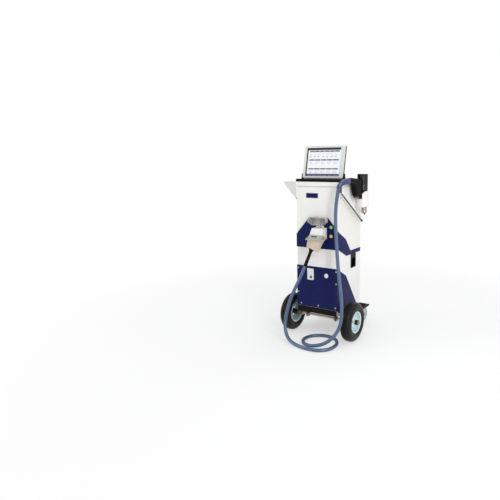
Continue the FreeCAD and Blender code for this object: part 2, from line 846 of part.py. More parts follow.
def make_port_cap():
    """White round cap over a gas port in the lower cover."""
    face = -cover_sheet
    radius = port_cap_diameter / 2
    return turned([(face - 4, 0), (face - 4, radius - 2), (face - 2.6, radius), (face - 0.1, radius),
                   (face - 0.1, port_bore / 2 - 0.2), (8, port_bore / 2 - 0.2), (8, 0)],
                  V(port_x, 0, port_z), "Y")


def make_side_handles():
    """Recessed lifting handles: a rim, a cup and a finger lip along the top."""
    half_y = handle_width / 2
    half_z = handle_height / 2
    rim_proud = 2.5
    inner_y = half_y - handle_rim - 0.3
    inner_z = half_z - handle_rim - 0.3
    face = half_width + 0.1
    rim = box(face, face + rim_proud, handle_y - half_y, handle_y + half_y,
              handle_z - half_z, handle_z + half_z)
    rim = round_edges(rim, 10, V(1, 0, 0))
    cup = box(half_width - handle_depth, face + 1, handle_y - inner_y, handle_y + inner_y,
              handle_z - inner_z, handle_z + inner_z)
    cup = round_edges(cup, 7, V(1, 0, 0))
    hollow = box(half_width - handle_depth + handle_wall, face + 9,
                 handle_y - inner_y + handle_wall, handle_y + inner_y - handle_wall,
                 handle_z - inner_z + handle_wall, handle_z + inner_z - handle_wall)
    hollow = round_edges(hollow, 5, V(1, 0, 0))
    lip = box(half_width - 5, face + rim_proud, handle_y - inner_y, handle_y + inner_y,
              handle_z + inner_z - 24, handle_z + inner_z)
    moulding = fused([rim, cup])
    handle = fused([moulding.cut(hollow), lip.common(moulding)])
    return group([handle, mirrored(handle)])


def make_top_shelf():
    """Main plate with a front and a rear lip, and the left wing's plate with a hem, which meet
    flush at a seam; the right edge is left flat for the side bracket."""
    under = shelf_top_z - shelf_sheet
    seam = -half_width - wing_seam_offset
    plate = box(seam, shelf_right, shelf_front, shelf_back, under, shelf_top_z)
    lip_z = shelf_top_z - shelf_lip
    front = box(-half_width - 2, shelf_right, shelf_front, 0, lip_z, under)
    back = box(-half_width - 2, shelf_right, column_depth, shelf_back, lip_z, under)
    wing = box(shelf_left, seam - seat_gap, shelf_front, shelf_back, under, shelf_top_z)
    hem = box(shelf_left, shelf_left + shelf_sheet, shelf_front, shelf_back,
              under - hem_height, under)
    return group([fused([plate, front, back]), fused([wing, hem])])


def make_wing_gussets():
    """Triangular gussets under the left wing, front and rear, with a flange on the slant."""
    under = shelf_top_z - shelf_sheet
    x_tip = shelf_left + shelf_sheet + 0.2
    x_root = -half_width - 2.2
    low = shelf_top_z - gusset_height
    triangle = [(x_tip, under - 0.2), (x_root, under - 0.2), (x_root, low), (x_tip, under - hem_height)]
    slant = [(x_tip, under - hem_height), (x_root, low), (x_root, low + 2.8),
             (x_tip, under - hem_height + 2.8)]
    front = fused([prism_y(triangle, shelf_front, shelf_front + shelf_sheet),
                   prism_y(slant, shelf_front, shelf_front + gusset_flange)])
    back = fused([prism_y(triangle, shelf_back - shelf_sheet, shelf_back),
                  prism_y(slant, shelf_back - gusset_flange, shelf_back)])
    return group([front, back])


def make_side_bracket():
    """White cheek under the shelf's right edge, with its slanted lower edge folded inwards."""
    under = shelf_top_z - shelf_sheet
    x0 = shelf_right - shelf_sheet
    outline = [(0.3, under - 0.1), (0.3, bracket_front_z), (bracket_diagonal_y, bracket_back_z),
               (bracket_back_y, bracket_back_z), (bracket_back_y, under - 0.1)]
    cheek = prism_x(outline, x0, shelf_right)
    flange = [(0.3, bracket_front_z), (bracket_diagonal_y, bracket_back_z),
              (bracket_back_y, bracket_back_z), (bracket_back_y, bracket_back_z + 2.5),
              (bracket_diagonal_y + 1, bracket_back_z + 2.5), (0.3, bracket_front_z + 3)]
    fold = prism_x(flange, half_width + 0.2, shelf_right)
    rear = box(half_width + 0.2, shelf_right, bracket_back_y - 2.5, bracket_back_y,
               bracket_back_z, under - 0.1)
    return fused([cheek, fold, rear])


def make_bracket_edging():
    """Black edging along the slant and the round rubber stop at its lower end."""
    x0 = shelf_right - 6
    run_y = bracket_diagonal_y - 0.3
    drop = bracket_back_z - bracket_front_z
    length = math.hypot(run_y, drop)
    ny = -drop / length
    nz = run_y / length
    start = (0.3, bracket_front_z - 0.2)
    end = (bracket_diagonal_y, bracket_back_z - 0.2)
    sink = (edging_depth * ny, edging_depth * nz)
    strip = prism_x([start, end, (end[0] - sink[0], end[1] - sink[1]),
                     (start[0] - sink[0], start[1] - sink[1])], x0, shelf_right + 1)
    stop = cyl(V(x0, end[0] + stop_radius / 6, end[1] - stop_radius), V(1, 0, 0), stop_radius,
               stop_length)
    stop = stop.makeFillet(2.5, [e for e in stop.Edges if len(e.Vertexes) == 1])
    return fused([strip, stop])


nozzle_axis = V(probe_x, probe_y, 0) + nozzle_shift
neck_axis = V(probe_x, probe_y, 0) + probe_neck_shift
nozzle_opening = nozzle_radius + 4


def make_probe_holder():
    """White cup for the probe head, with a raised cheek on its outer side, on a plate
    against the bracket."""
    axis = V(probe_x, probe_y, 0)
    floor = 5.0
    inner = holder_radius - holder_wall
    cup = turned([(holder_bottom, 0), (holder_bottom, holder_radius - 5),
                  (holder_bottom + 5, holder_radius), (holder_back_top, holder_radius),
                  (holder_back_top, inner), (holder_bottom + floor, inner),
                  (holder_bottom + floor, 0)], axis, "Z")
    reach = holder_radius + 10
    cheek_x = probe_x + 16
    low_side = box(probe_x - reach, cheek_x, probe_y - reach, probe_y + reach,
                   holder_top, holder_back_top + 1)
    corner = prism_x([(probe_y - reach, holder_back_top + 1), (probe_y - reach, holder_top + 16),
                      (probe_y - 22, holder_back_top + 1)], cheek_x - 1, probe_x + reach)
    plate = box(shelf_right + 0.1, shelf_right + 6, probe_y - 33, probe_y + 33,
                holder_bottom, holder_top)
    plate = round_edges(plate, 8, V(1, 0, 0))
    bore = cyl(V(probe_x, probe_y, holder_bottom - 5), V(0, 0, 1), inner, holder_back_top)
    hole = cyl(V(nozzle_axis.x, nozzle_axis.y, holder_bottom - 5), V(0, 0, 1), nozzle_opening, 20)
    return fused([cup.cut([low_side, corner, hole]), plate.cut(bore)])


def make_probe_cap():
    """Glossy black rear cap of the probe, with two grip grooves at its lower edge."""
    axis = V(probe_x, probe_y, 0)
    r = probe_radius
    low = probe_cap_bottom + 0.2
    return turned([(low, 0), (low, r), (low + 4, r), (low + 5, r - 1.2), (low + 6, r),
                   (low + 10, r), (low + 11, r - 1.2), (low + 12, r), (probe_top - 4, r),
                   (probe_top - 1, r - 1.3), (probe_top, r - 5), (probe_top, 0)], axis, "Z")


def make_probe_body():
    """Dark body under the cap, tapering to an offset neck above the spark head."""
    axis = V(probe_x, probe_y, 0)
    r = probe_radius
    neck_low = holder_top - 4
    body = turned([(probe_cap_bottom, 0), (probe_cap_bottom, r), (probe_body_bottom + 12, r),
                   (probe_body_bottom, r - 6), (probe_body_bottom, 0)], axis, "Z")
    neck = cyl(V(neck_axis.x, neck_axis.y, neck_low), V(0, 0, 1), probe_neck_radius,
               probe_body_bottom + 6 - neck_low)
    return fused([body, neck])


head_seat = holder_bottom + 5.3
stub_low = head_seat - 8


def make_probe_head():
    """Spark head that seats in the holder, with a stub through the holder's floor."""
    axis = V(probe_x, probe_y, 0)
    top = holder_top - 4.2
    r = probe_head_radius
    head = turned([(top, 0), (top, r - 6), (top - 8, r), (head_seat, r), (head_seat, 0)], axis, "Z")
    stub = cyl(V(nozzle_axis.x, nozzle_axis.y, stub_low), V(0, 0, 1), nozzle_radius + 2, 12)
    return fused([head, stub])


nozzle_top = stub_low - 0.2
nozzle_end = nozzle_top - nozzle_length


def make_probe_nozzle():
    """Metal spark nozzle: a grooved barrel that narrows to the tip."""
    r = nozzle_radius
    bore = tip_radius + 0.3
    return turned([(nozzle_top, 0), (nozzle_top, r), (nozzle_top - 6, r), (nozzle_top - 7, r - 1),
                   (nozzle_top - 9, r - 1), (nozzle_top - 10, r), (nozzle_end + 8, r),
                   (nozzle_end, r - 4.5), (nozzle_end, bore), (nozzle_end + 12, bore),
                   (nozzle_end + 12, 0)], nozzle_axis, "Z")


def make_electrode():
    """Dark insulator sleeve with the counter electrode's point."""
    r = tip_radius
    low = nozzle_end - tip_length
    return turned([(nozzle_end + 11.8, 0), (nozzle_end + 11.8, r), (low + 4, r), (low + 1, r - 2.5),
                   (low, 0)], nozzle_axis, "Z")


grip_axis = V(-grip_slant, -1, 0).normalize()
grip_side = V(0, 0, 1).cross(grip_axis).normalize()
grip_root = V(probe_x, grip_start_y, 0)
grip_end = grip_root + grip_axis * grip_length + V(0, 0, grip_end_z)


def grip_section(along, low, high, thickness, corner):
    """A rounded upright rectangle across the grip, a distance out from the probe."""
    centre = grip_root + grip_axis * along
    half = thickness / 2

    def spot(side, z):
        p = centre + grip_side * side
        return V(p.x, p.y, z)

    slant = corner * (1 - math.sqrt(0.5))
    edges = []
    for side, z, turn_side, turn_z in ((half, low, -1, 1), (half, high, -1, -1),
                                       (-half, high, 1, -1), (-half, low, 1, 1)):
        before = spot(side, z + turn_z * corner)
        after = spot(side + turn_side * corner, z)
        middle = spot(side + turn_side * slant, z + turn_z * slant)
        edges.append((before, middle, after))
    loop = [edges[0], edges[1], edges[2], edges[3]]
    path = []
    ordered = [(loop[0][2], loop[0][1], loop[0][0]), (loop[1][0], loop[1][1], loop[1][2]),
               (loop[2][2], loop[2][1], loop[2][0]), (loop[3][0], loop[3][1], loop[3][2])]
    for k, (start, middle, end) in enumerate(ordered):
        path.append(Part.Arc(start, middle, end).toShape())
        path.append(Part.LineSegment(end, ordered[(k + 1) % 4][0]).toShape())
    return Part.Wire(path)


def trigger_slot(margin):
    """Space in the grip's underside that the trigger moves in."""
    half_l = trigger_length / 2 + margin
    half_w = trigger_width / 2 + margin
    centre = grip_root + grip_axis * trigger_place
    corners = []
    for a, b in ((-half_l, -half_w), (half_l, -half_w), (half_l, half_w), (-half_l, half_w)):
        p = centre + grip_axis * a + grip_side * b
        corners.append((p.x, p.y, grip_low - 10))
    return prism(corners, V(0, 0, 28))


def make_probe_grip():
    """Deep moulded hand grip that narrows to the hose end, in one loft."""
    knuckle = grip_length - 42
    sections = [grip_section(0, grip_low + 2, grip_high - 2, grip_thickness, 12),
                grip_section(56, grip_low, grip_high - 1, grip_thickness - 1, 14),
                grip_section(knuckle, grip_low + 1, grip_high, grip_thickness - 2, 14),
                grip_section(grip_length - 29, grip_high - 54, grip_high + 3, grip_thickness - 4, 13),
                grip_section(grip_length, grip_end_z - grip_neck, grip_end_z + grip_neck,
                             2 * grip_neck, 13)]
    grip = Part.makeLoft(sections, True, True)
    body_room = cyl(V(probe_x, probe_y, probe_body_bottom - 0.2), V(0, 0, 1), probe_radius + 0.2,
                    probe_top - probe_body_bottom)
    neck_room = cyl(V(neck_axis.x, neck_axis.y, holder_top), V(0, 0, 1), probe_neck_radius + 0.2,
                    probe_body_bottom - holder_top + 5)
    return grip.cut([body_room, neck_room, trigger_slot(0.4)])


def make_probe_trigger():
    """Curved trigger that stands out of the grip's underside."""
    centre = grip_root + grip_axis * trigger_place
    half_l = trigger_length / 2
    half_w = trigger_width / 2
    top = grip_low + 18 - 0.6 - trigger_travel
    bottom = grip_low - trigger_proud

    def at(a, z):
        p = centre + grip_axis * a - grip_side * half_w
        return V(p.x, p.y, z)

    edges = [
        Part.LineSegment(at(-half_l, top), at(-half_l, bottom)).toShape(),
        Part.Arc(at(-half_l, bottom), at(0, bottom + 5), at(half_l, bottom)).toShape(),
        Part.LineSegment(at(half_l, bottom), at(half_l, top)).toShape(),
        Part.LineSegment(at(half_l, top), at(-half_l, top)).toShape(),
    ]
    return Part.Face(Part.Wire(edges)).extrude(grip_side * trigger_width)


def tube_path(points):
    """Straight runs joined by tangent arcs; prints each arc's radius."""
    edges = []
    radii = []
    last = points[0]
    for i in range(1, len(points) - 1):
        before = (points[i - 1] - points[i])
        after = (points[i + 1] - points[i])
        shorter = min(before.Length, after.Length)
        before.normalize()
        after.normalize()
        turn = math.pi - before.getAngle(after)
        cut = 0.45 * shorter
        radius = cut / math.tan(turn / 2)
        start = points[i] + before * cut
        end = points[i] + after * cut
        middle_dir = (before + after).normalize()
        middle = points[i] + middle_dir * (radius / math.cos(turn / 2) - radius)
        edges.append(Part.LineSegment(last, start).toShape())
        edges.append(Part.Arc(start, middle, end).toShape())
        radii.append(radius)
        last = end
    edges.append(Part.LineSegment(last, points[-1]).toShape())
    return Part.Wire(edges), radii


def tube(points, radius, label):
    path, radii = tube_path(points)
    direction = points[1] - points[0]
    section = Part.Wire(Part.Circle(points[0], direction, radius).toShape())
    solid = path.makePipeShell([section], True, False)
    expected = math.pi * radius ** 2 * path.Length
    print(label, "length", round(path.Length, 1), "radii", [round(r) for r in radii],
          "volume ratio", round(solid.Volume / expected, 4))
    return solid


hose_start = cable_exit + cable_axis * relief_length
hose_top = V(181.0, -46.0, 1008.0)

hose_points = [
    hose_start,
    hose_start + cable_axis * 70,
    V(-92, -126, 352),
    V(-126, -136, 262),
    V(-150, -146, 172),
    V(-152, -160, 88),
    V(-112, -182, 28),
    V(-38, -206, 13),
    V(48, -226, 13),
    V(132, -212, 13),
    V(186, -146, 13),
    V(186, -60, 13),
    V(130, 6, 13),
    V(46, 22, 13),
    V(-26, -24, 13),
    V(-44, -106, 13),
    V(2, -174, 16),
    V(84, -186, 24),
    V(156, -148, 44),
    V(204, -104, 100),
    V(228, -93, 176),
    V(232, -90, 262),
    V(220, -80, 352),
    V(204, -74, 442),
    V(190, -66, 530),
    V(178, -58, 625),
    V(167, -51, 725),
    V(161, -47, 825),
    V(164, -46, 915),
    hose_top,
]

hose_end_direction = (hose_points[-1] - hose_points[-2]).normalize()

boot_points = [
    grip_end + grip_axis * 0.2,
    grip_end + grip_axis * 14,
    V(193, -22, 1047),
    V(188.5, -37, 1039),
    hose_top + hose_end_direction * 16,
    hose_top + hose_end_direction * 0.1,
]


def make_hose():
    return tube(hose_points, hose_diameter / 2, "hose")


def make_hose_boot():
    """Bend protector between the grip and the hose."""
    return tube(boot_points, hose_diameter / 2 + 2, "boot")


def placed(shape, origin, axis):
    """Moves a shape made along +Z at the origin so that +Z follows an axis, +X stays level as
    far as it can, and +Y faces the front."""
    across = (V(1, 0, 0) - axis * axis.x).normalize()
    third = axis.cross(across)
    matrix = FreeCAD.Matrix(across.x, third.x, axis.x, origin.x,
                            across.y, third.y, axis.y, origin.y,
                            across.z, third.z, axis.z, origin.z,
                            0, 0, 0, 1)
    copy = shape.copy()
    copy.Placement = FreeCAD.Placement(matrix)
    return copy


def in_socket_frame(shape):
    return placed(shape, mate_point, socket_axis)


def in_cable_frame(shape):
    return placed(shape, cable_exit, cable_axis)


def rounded_ring(x0, x1, half_y, z, radius):
    """Outline of a rounded rectangle at a height."""
    slab = box(x0, x1, -half_y, half_y, z, z + 1)
    slab = round_edges(slab, radius, V(0, 0, 1))
    low = [f for f in slab.Faces if abs(f.CenterOfMass.z - z) < 1e-6]
    return low[0].OuterWire


def make_dock_socket():
    """Fixed white socket housing on the band, cut off square to the plug's mating axis."""
    left = dock_right - dock_width
    back = -band_sheet
    low = mate_point.z - dock_reach_down
    fall = dock_top - low
    front = -dock_proud
    from_front = prism_y([(left - dock_side_lean * fall, low), (left, dock_top),
                          (dock_right, dock_top), (dock_right, low)], front - 40, back)
    from_side = prism_x([(back, low), (back, dock_top), (front + 8, dock_top), (front, dock_top - 6),
                         (front - dock_front_lean * fall, low)], left - 60, dock_right + 20)
    body = from_front.common(from_side)
    upright = []
    for edge in body.Edges:
        if edge.Length > fall * 0.8 and edge.CenterOfMass.y < front + 3:
            upright.append(edge)
    body = body.makeFillet(dock_corner, upright)
    body = body.cut(in_socket_frame(box(-200, 200, -200, 200, 0, 200)))
    lugs = []
    for x in lug_places:
        lugs.append(prism_x([(back, dock_top - 1), (back, dock_hinge_z + 4),
                             (dock_hinge_y - 4, dock_hinge_z + 4), (dock_hinge_y - 4, dock_top - 1)],
                            x, x + lug_width))
    pin = cyl(V(lug_places[0], dock_hinge_y, dock_hinge_z), V(1, 0, 0), dock_pin_radius,
              lug_places[1] + lug_width - lug_places[0])
    return fused([body, pin] + lugs)


lug_places = (dock_right - dock_width + lug_inset, dock_right - lug_far_inset)


def make_dock_cover():
    """Smoked see-through cover, swung up on its hinge: a six-sided hood, open to the front,
    with three ribs inside and a finger tab on top."""
    low = dock_hinge_z + hood_rise
    high = low + hood_height
    middle = low + hood_shoulder
    back = -hood_back
    front = back - hood_depth
    right = dock_right + hood_overhang
    left = right - hood_width
    outline = [(left, middle), (left + hood_top_inset_left, high), (right - hood_top_inset_right, high),
               (right, middle), (right - hood_foot_inset_right, low), (left + hood_foot_inset_left, low)]
    side = [(back, low), (back, high), (front + 6, high), (front, high - 16), (front, low + 22),
            (back - 15, low + 2), (back - 9, low)]
    corners = [V(x, back, z) for x, z in outline]
    ring = Part.makePolygon(corners + [corners[0]])
    outer = Part.Face(ring).extrude(V(0, -hood_depth - 5, 0))
    outer = outer.common(prism_x(side, left - 10, right + 10))
    inner_ring = ring.makeOffset2D(-hood_wall, 2)
    inner = Part.Face(inner_ring).extrude(V(0, -hood_depth - 10, 0))
    inner.translate(V(0, -hood_wall, 0))
    shell = outer.cut(inner)
    ribs = []
    for inset in hood_rib_insets:
        ribs.append(box(left + inset - 1, left + inset + 1, back - hood_wall - hood_rib_depth, back - 1,
                        low + 1, high - 1))
    tab = box(left + hood_tab_inset, left + hood_tab_inset + hood_tab_width, front + 9, front + 12,
              high - 1, high + hood_tab_rise)
    x0 = lug_places[0] + lug_width + 0.5
    x1 = lug_places[1] - 0.5
    knuckle = cyl(V(x0, dock_hinge_y, dock_hinge_z), V(1, 0, 0), 3.5, x1 - x0)
    arm = box(x0, x1, dock_hinge_y + 0.5, back, dock_hinge_z, low + 1)
    bore = cyl(V(x0 - 1, dock_hinge_y, dock_hinge_z), V(1, 0, 0), dock_pin_radius + running_clearance,
               x1 - x0 + 2)
    return fused([shell, knuckle, arm, tab] + ribs).cut(bore)


def plug_rings(grow):
    """The plug's outline at its seat and where it leaves the collar, grown by a clearance."""
    seat = rounded_ring(-plug_seat_left - grow, plug_seat_right + grow, plug_seat_half + grow,
                        plug_seat, plug_corner)
    mouth = rounded_ring(-plug_mouth_left - grow, plug_mouth_right + grow, plug_mouth_half + grow,
                         collar_height + 1, plug_corner)
    return [in_socket_frame(seat), in_socket_frame(mouth)]


def make_plug_collar():
    """Grey locking frame under the socket that leans with the plug, with two pivot pins."""
    half = collar_width / 2
    wall = collar_wall
    top = rounded_ring(-plug_seat_left - wall, plug_seat_right + wall, half, 0.1, plug_corner + 1)
    bottom = rounded_ring(-plug_mouth_left - wall, plug_mouth_right + wall, half, collar_height,
                          plug_corner + 1)
    outer = Part.makeLoft([in_socket_frame(top), in_socket_frame(bottom)], True, True)
    well = Part.makeLoft(plug_rings(plug_clearance), True, True)
    pins = []
    reach = lever_half + lever_sheet + 1
    for x0, x1 in ((-reach, -plug_seat_left - 6), (plug_seat_right + 2, reach)):
        pins.append(in_socket_frame(cyl(V(x0, 0, lever_pivot_drop), V(1, 0, 0), lever_pin_radius,
                                        x1 - x0)))
    return fused([outer] + pins).cut(well)


def make_plug_body():
    """Moulded plug: leans towards the cable and ends square to it."""
    rings = plug_rings(0.0)
    seat = in_socket_frame(rounded_ring(-plug_seat_left, plug_seat_right, plug_seat_half,
                                        plug_seat + seat_gap, plug_corner))
    end = in_cable_frame(rounded_ring(-plug_end_left, plug_end_right, plug_end_half, 0, plug_corner))
    return Part.makeLoft([seat, rings[1], end], True, True)


def make_plug_lever():
    """U-shaped locking bail that turns on the collar's pins and lies over the plug's shoulder."""
    front = collar_width / 2 + 6
    arms = []
    outline = [(-7, 5), (2, 3), (front, 30), (front, 39), (front - 6, 39), (-5, 20)]
    for x in (lever_half, -lever_half - lever_sheet):
        arm = prism_x(outline, x, x + lever_sheet)
        arms.append(arm.cut(cyl(V(x - 1, 0, lever_pivot_drop), V(1, 0, 0),
                                lever_pin_radius + running_clearance, lever_sheet + 2)))
    reach = lever_half + lever_sheet
    bar = box(-reach, reach, front - 3, front, 31, 39)
    return in_socket_frame(fused(arms + [bar]))


def make_strain_relief():
    """Black tapered bend protector between the plug and the hose, with shallow ribs."""
    root = relief_root_radius
    end = hose_diameter / 2 + 1
    flange = 8.0
    ribs = 8
    profile = [(0.1, 0), (0.1, root + 1), (flange, root + 1), (flange, root)]
    span = relief_length - flange
    for k in range(1, ribs + 1):
        at = flange + span * k / (ribs + 1)
        r = root + (end - root) * k / (ribs + 1)
        profile += [(at - 3, r + 0.3), (at - 2, r - 1.2), (at + 2, r - 1.2), (at + 3, r)]
    profile += [(relief_length, end), (relief_length, 0)]
    return in_cable_frame(turned(profile, V(0, 0, 0), "Z"))


base_top = shelf_top_z + base_height
hinge_z = base_top + hinge_height


def make_display_base():
    """Black docking base on the shelf, with an ear and a pin on each side for the display."""
    base = box(-base_half_width, base_half_width, base_front, base_back,
               shelf_top_z + 0.1, base_top)
    base = round_edges(base, 8, V(0, 0, 1))
    pad = box(34, 50, base_front - 2.5, base_front + 4, shelf_top_z + 6, base_top - 4)
    ear_in = display_width / 2 + ear_gap
    ear = prism_x([(hinge_y - 15, base_top - 1), (hinge_y - 8, hinge_z + 7), (hinge_y + 8, hinge_z + 7),
                   (hinge_y + 15, base_top - 1)], ear_in, ear_in + ear_thickness)
    ear = round_edges(ear, 3, V(1, 0, 0))
    pin = cyl(V(ear_in - 12, hinge_y, hinge_z), V(1, 0, 0), hinge_pin_radius, 13)
    side = fused([ear, pin])
    return fused([base, pad, side, mirrored(side)])


def lean_back(shape):
    copy = shape.copy()
    copy.rotate(V(0, hinge_y, hinge_z), V(1, 0, 0), -display_lean)
    return copy


def display_slab(margin, y0, y1):
    """The display's outline from the hinge line, grown or shrunk by a margin."""
    half = display_width / 2 + margin
    low = hinge_z - display_below_hinge - margin
    high = low + display_height + 2 * margin
    return box(-half, half, hinge_y + y0, hinge_y + y1, low, high)


def screen_box(margin, y0, y1):
    half = screen_width / 2 + margin
    low = hinge_z - display_below_hinge + screen_rise - 6 - margin
    return box(screen_shift - half, screen_shift + half, hinge_y + y0, hinge_y + y1,
               low, low + screen_height + 2 * margin)


def make_display_housing():
    """Silver display housing with a rounded outline, a screen recess and hinge bores."""
    front = -display_thickness / 2
    back = display_thickness / 2
    body = round_edges(display_slab(0, front, back), 8, V(0, 1, 0))
    rim = [e for e in body.Edges if abs(e.CenterOfMass.y - (hinge_y + front)) < 1e-6
           or abs(e.CenterOfMass.y - (hinge_y + back)) < 1e-6]
    body = body.makeFillet(2.5, rim)
    recess = screen_box(0.2, front - 1, front + screen_depth)
    bore = cyl(V(-display_width / 2 - 5, hinge_y, hinge_z), V(1, 0, 0),
               hinge_pin_radius + running_clearance, 18)
    back_plate = round_edges(display_slab(-22, back - 1, back + 2), 10, V(0, 1, 0))
    body = fused([body, back_plate])
    return lean_back(body.cut([recess, bore, mirrored(bore)]))


def make_display_screen():
    front = -display_thickness / 2
    return lean_back(screen_box(-0.1, front + 0.4, front + screen_depth - 0.1))


def make_inner_frame():
    """Posts and two shelves that carry the instrument inside the column."""
    half = half_width - frame_gap
    back = column_depth - frame_back_gap
    top = upper_shelf_z + frame_sheet
    pieces = []
    for z in (lower_shelf_z, upper_shelf_z):
        pieces.append(box(-half, half, frame_front, back, z, z + frame_sheet))
    for x in (-half, half - frame_post):
        for y in (frame_front, back - frame_post):
            pieces.append(box(x, x + frame_post, y, y + frame_post, column_base + 0.1, top))
    return fused(pieces)


def make_optic_chamber():
    """Sealed spectrometer chamber: a round-ended casting with a lid flange."""
    low = upper_shelf_z + frame_sheet + 0.2
    high = low + optic_height
    half = half_width - optic_side_gap
    back = column_depth - optic_back_gap
    wall = optic_wall
    body = box(-half, half, optic_front, back, low, high)
    body = round_edges(body, optic_corner, V(0, 0, 1))
    inside = box(-half + wall, half - wall, optic_front + wall, back - wall, low - 1, high - wall)
    inside = round_edges(inside, optic_corner - wall, V(0, 0, 1))
    rim = optic_flange
    lid = box(-half - rim, half + rim, optic_front - rim, back + rim, high, high + optic_lid)
    lid = round_edges(lid, optic_corner + 2, V(0, 0, 1))
    port = cyl(V(half - 8, optic_front + 70, low + optic_height / 2), V(1, 0, 0), 14, 24)
    return fused([body.cut(inside), lid, port])


def make_spark_source():
    """Spark generator with a finned heat sink, between the two shelves."""
    low = lower_shelf_z + frame_sheet + 0.2
    high = low + source_height
    half = half_width - handle_depth - source_gap
    back = column_depth - source_back_gap
    wall = case_wall
    case = box(-half, half, source_front, back, low, high)
    case = case.cut(box(-half + wall, half - wall, source_front + wall, back - wall, low - 1, high - wall))
    fins = []
    count = 9
    pitch = (2 * half - 32) / (count - 1)
    for k in range(count):
        x = -half + 16 + k * pitch
        fins.append(box(x - 2, x + 2, source_front + 10, back - 10, high - 1, high + source_fin_height))
    return fused([case] + fins)


def make_power_supply():
    """Power supply and battery tray on the floor of the column."""
    low = column_base + 0.2
    high = low + supply_height
    half = half_width - supply_side_gap
    back = column_depth - supply_back_gap
    wall = case_wall
    case = round_edges(box(-half, half, supply_front, back, low, high), 4, V(0, 0, 1))
    return case.cut(box(-half + wall, half - wall, supply_front + wall, back - wall, low - 1, high - wall))


fan_back = column_depth - sheet - 0.2
fan_front = fan_back - fan_depth


def make_fan_frame():
    """Square fan frame with four struts and the pin that carries the rotor."""
    half = fan_size / 2
    frame = box(-half, half, fan_front, fan_back, fan_z - half, fan_z + half)
    frame = round_edges(frame, 6, V(0, 1, 0))
    frame = frame.cut(cyl(V(0, fan_front - 1, fan_z), V(0, 1, 0), half - 4, 30))
    struts = [box(-half + 2, half - 2, fan_front, fan_front + 3, fan_z - 3, fan_z + 3),
              box(-3, 3, fan_front, fan_front + 3, fan_z - half + 2, fan_z + half - 2)]
    boss = cyl(V(0, fan_front, fan_z), V(0, 1, 0), fan_hub - 4, 3)
    pin = cyl(V(0, fan_front, fan_z), V(0, 1, 0), fan_pin, 20)
    return fused([frame, boss, pin] + struts)


def make_fan_rotor():
    """Fan hub with five pitched blades, free to turn on the frame's pin."""
    half = fan_size / 2
    hub = cyl(V(0, fan_front + 3.3, fan_z), V(0, 1, 0), fan_hub,
              fan_depth - 6)
    blades = []
    for k in range(5):
        blade = box(fan_hub - 2, half - 7, fan_front + 8, fan_back - 7, fan_z - 1.5, fan_z + 1.5)
        blade.rotate(V(0, fan_front + fan_depth / 2, fan_z), V(1, 0, 0), 25)
        blade.rotate(V(0, 0, fan_z), V(0, 1, 0), 72.0 * k + 20)
        blades.append(blade)
    bore = cyl(V(0, fan_front, fan_z), V(0, 1, 0), fan_pin + running_clearance, 21)
    return fused([hub] + blades).cut(bore)


nodes = {
    "column_shell": make_column_shell(),
    "rear_panel": make_rear_panel(),
    "base_chassis": make_base_chassis(),
    "rear_outrigger": make_outrigger(),
    "axle_brackets": group([make_axle_bracket(), mirrored(make_axle_bracket())]),
    "axle": make_axle(),
    "axle_fittings": group(make_axle_caps() + make_spacers()),
    "tyre_right": make_tyre(),
    "tyre_left": mirrored(make_tyre()),
    "rim_right": make_rim(),
    "rim_left": mirrored(make_rim()),
    "hub_right": make_hub(),
    "hub_left": mirrored(make_hub()),
    "caster_plates": make_caster_plates(),
    "caster_fork_right": make_caster_fork(1),
    "caster_fork_left": make_caster_fork(-1),
    "caster_core_right": make_caster_core(1),
    "caster_core_left": make_caster_core(-1),
    "caster_tread_right": make_caster_tread(1),
    "caster_tread_left": make_caster_tread(-1),
    "lower_cover": make_lower_cover(),
    "cover_screws": make_cover_screws(),
    "mid_band": make_mid_band(),
    "button_bodies": make_button_bodies(),
    "green_button": make_button(green_z),
    "amber_button": make_button(amber_z),
    "service_flap": make_service_flap(),
    "flap_latch": make_flap_latch(),
    "service_panel": make_service_panel(),
    "port_cap": make_port_cap(),
    "side_handles": make_side_handles(),
    "top_shelf": make_top_shelf(),
    "wing_gussets": make_wing_gussets(),
    "side_bracket": make_side_bracket(),
    "bracket_edging": make_bracket_edging(),
    "probe_holder": make_probe_holder(),
    "probe_cap": make_probe_cap(),
    "probe_body": make_probe_body(),
    "probe_head": make_probe_head(),
    "probe_nozzle": make_probe_nozzle(),
    "electrode": make_electrode(),
    "probe_grip": make_probe_grip(),
    "probe_trigger": make_probe_trigger(),
    "hose": make_hose(),
    "hose_boot": make_hose_boot(),
    "dock_socket": make_dock_socket(),
    "dock_cover": make_dock_cover(),
    "plug_collar": make_plug_collar(),
    "plug_body": make_plug_body(),
    "plug_lever": make_plug_lever(),
    "strain_relief": make_strain_relief(),
    "display_base": make_display_base(),
    "display_housing": make_display_housing(),
    "display_screen": make_display_screen(),
    "inner_frame": make_inner_frame(),
    "optic_chamber": make_optic_chamber(),
    "spark_source": make_spark_source(),
    "power_supply": make_power_supply(),
    "fan_frame": make_fan_frame(),
    "fan_rotor": make_fan_rotor(),
}

cord_nodes = ("hose",)


def footprint_shift():
    """The move that puts the origin under the middle of the object, cord left out."""
    whole = FreeCAD.BoundBox()
    for name, shape in nodes.items():
        if name not in cord_nodes:
            whole.add(shape.optimalBoundingBox(False))
    return V(-(whole.XMin + whole.XMax) / 2, -(whole.YMin + whole.YMax) / 2, 0)


def main():
    os.makedirs(OUT, exist_ok=True)
    shift = footprint_shift()
    print("origin shift", round(shift.x, 3), round(shift.y, 3))
    for name, shape in nodes.items():
        if not shape.isValid():
            print("invalid", name)
        moved = shape.copy()
        moved.translate(shift)
        moved.exportStep(os.path.join(OUT, name + ".step"))


main()
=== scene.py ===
import math

import bmesh
import bpy
from mathutils import Matrix, Vector


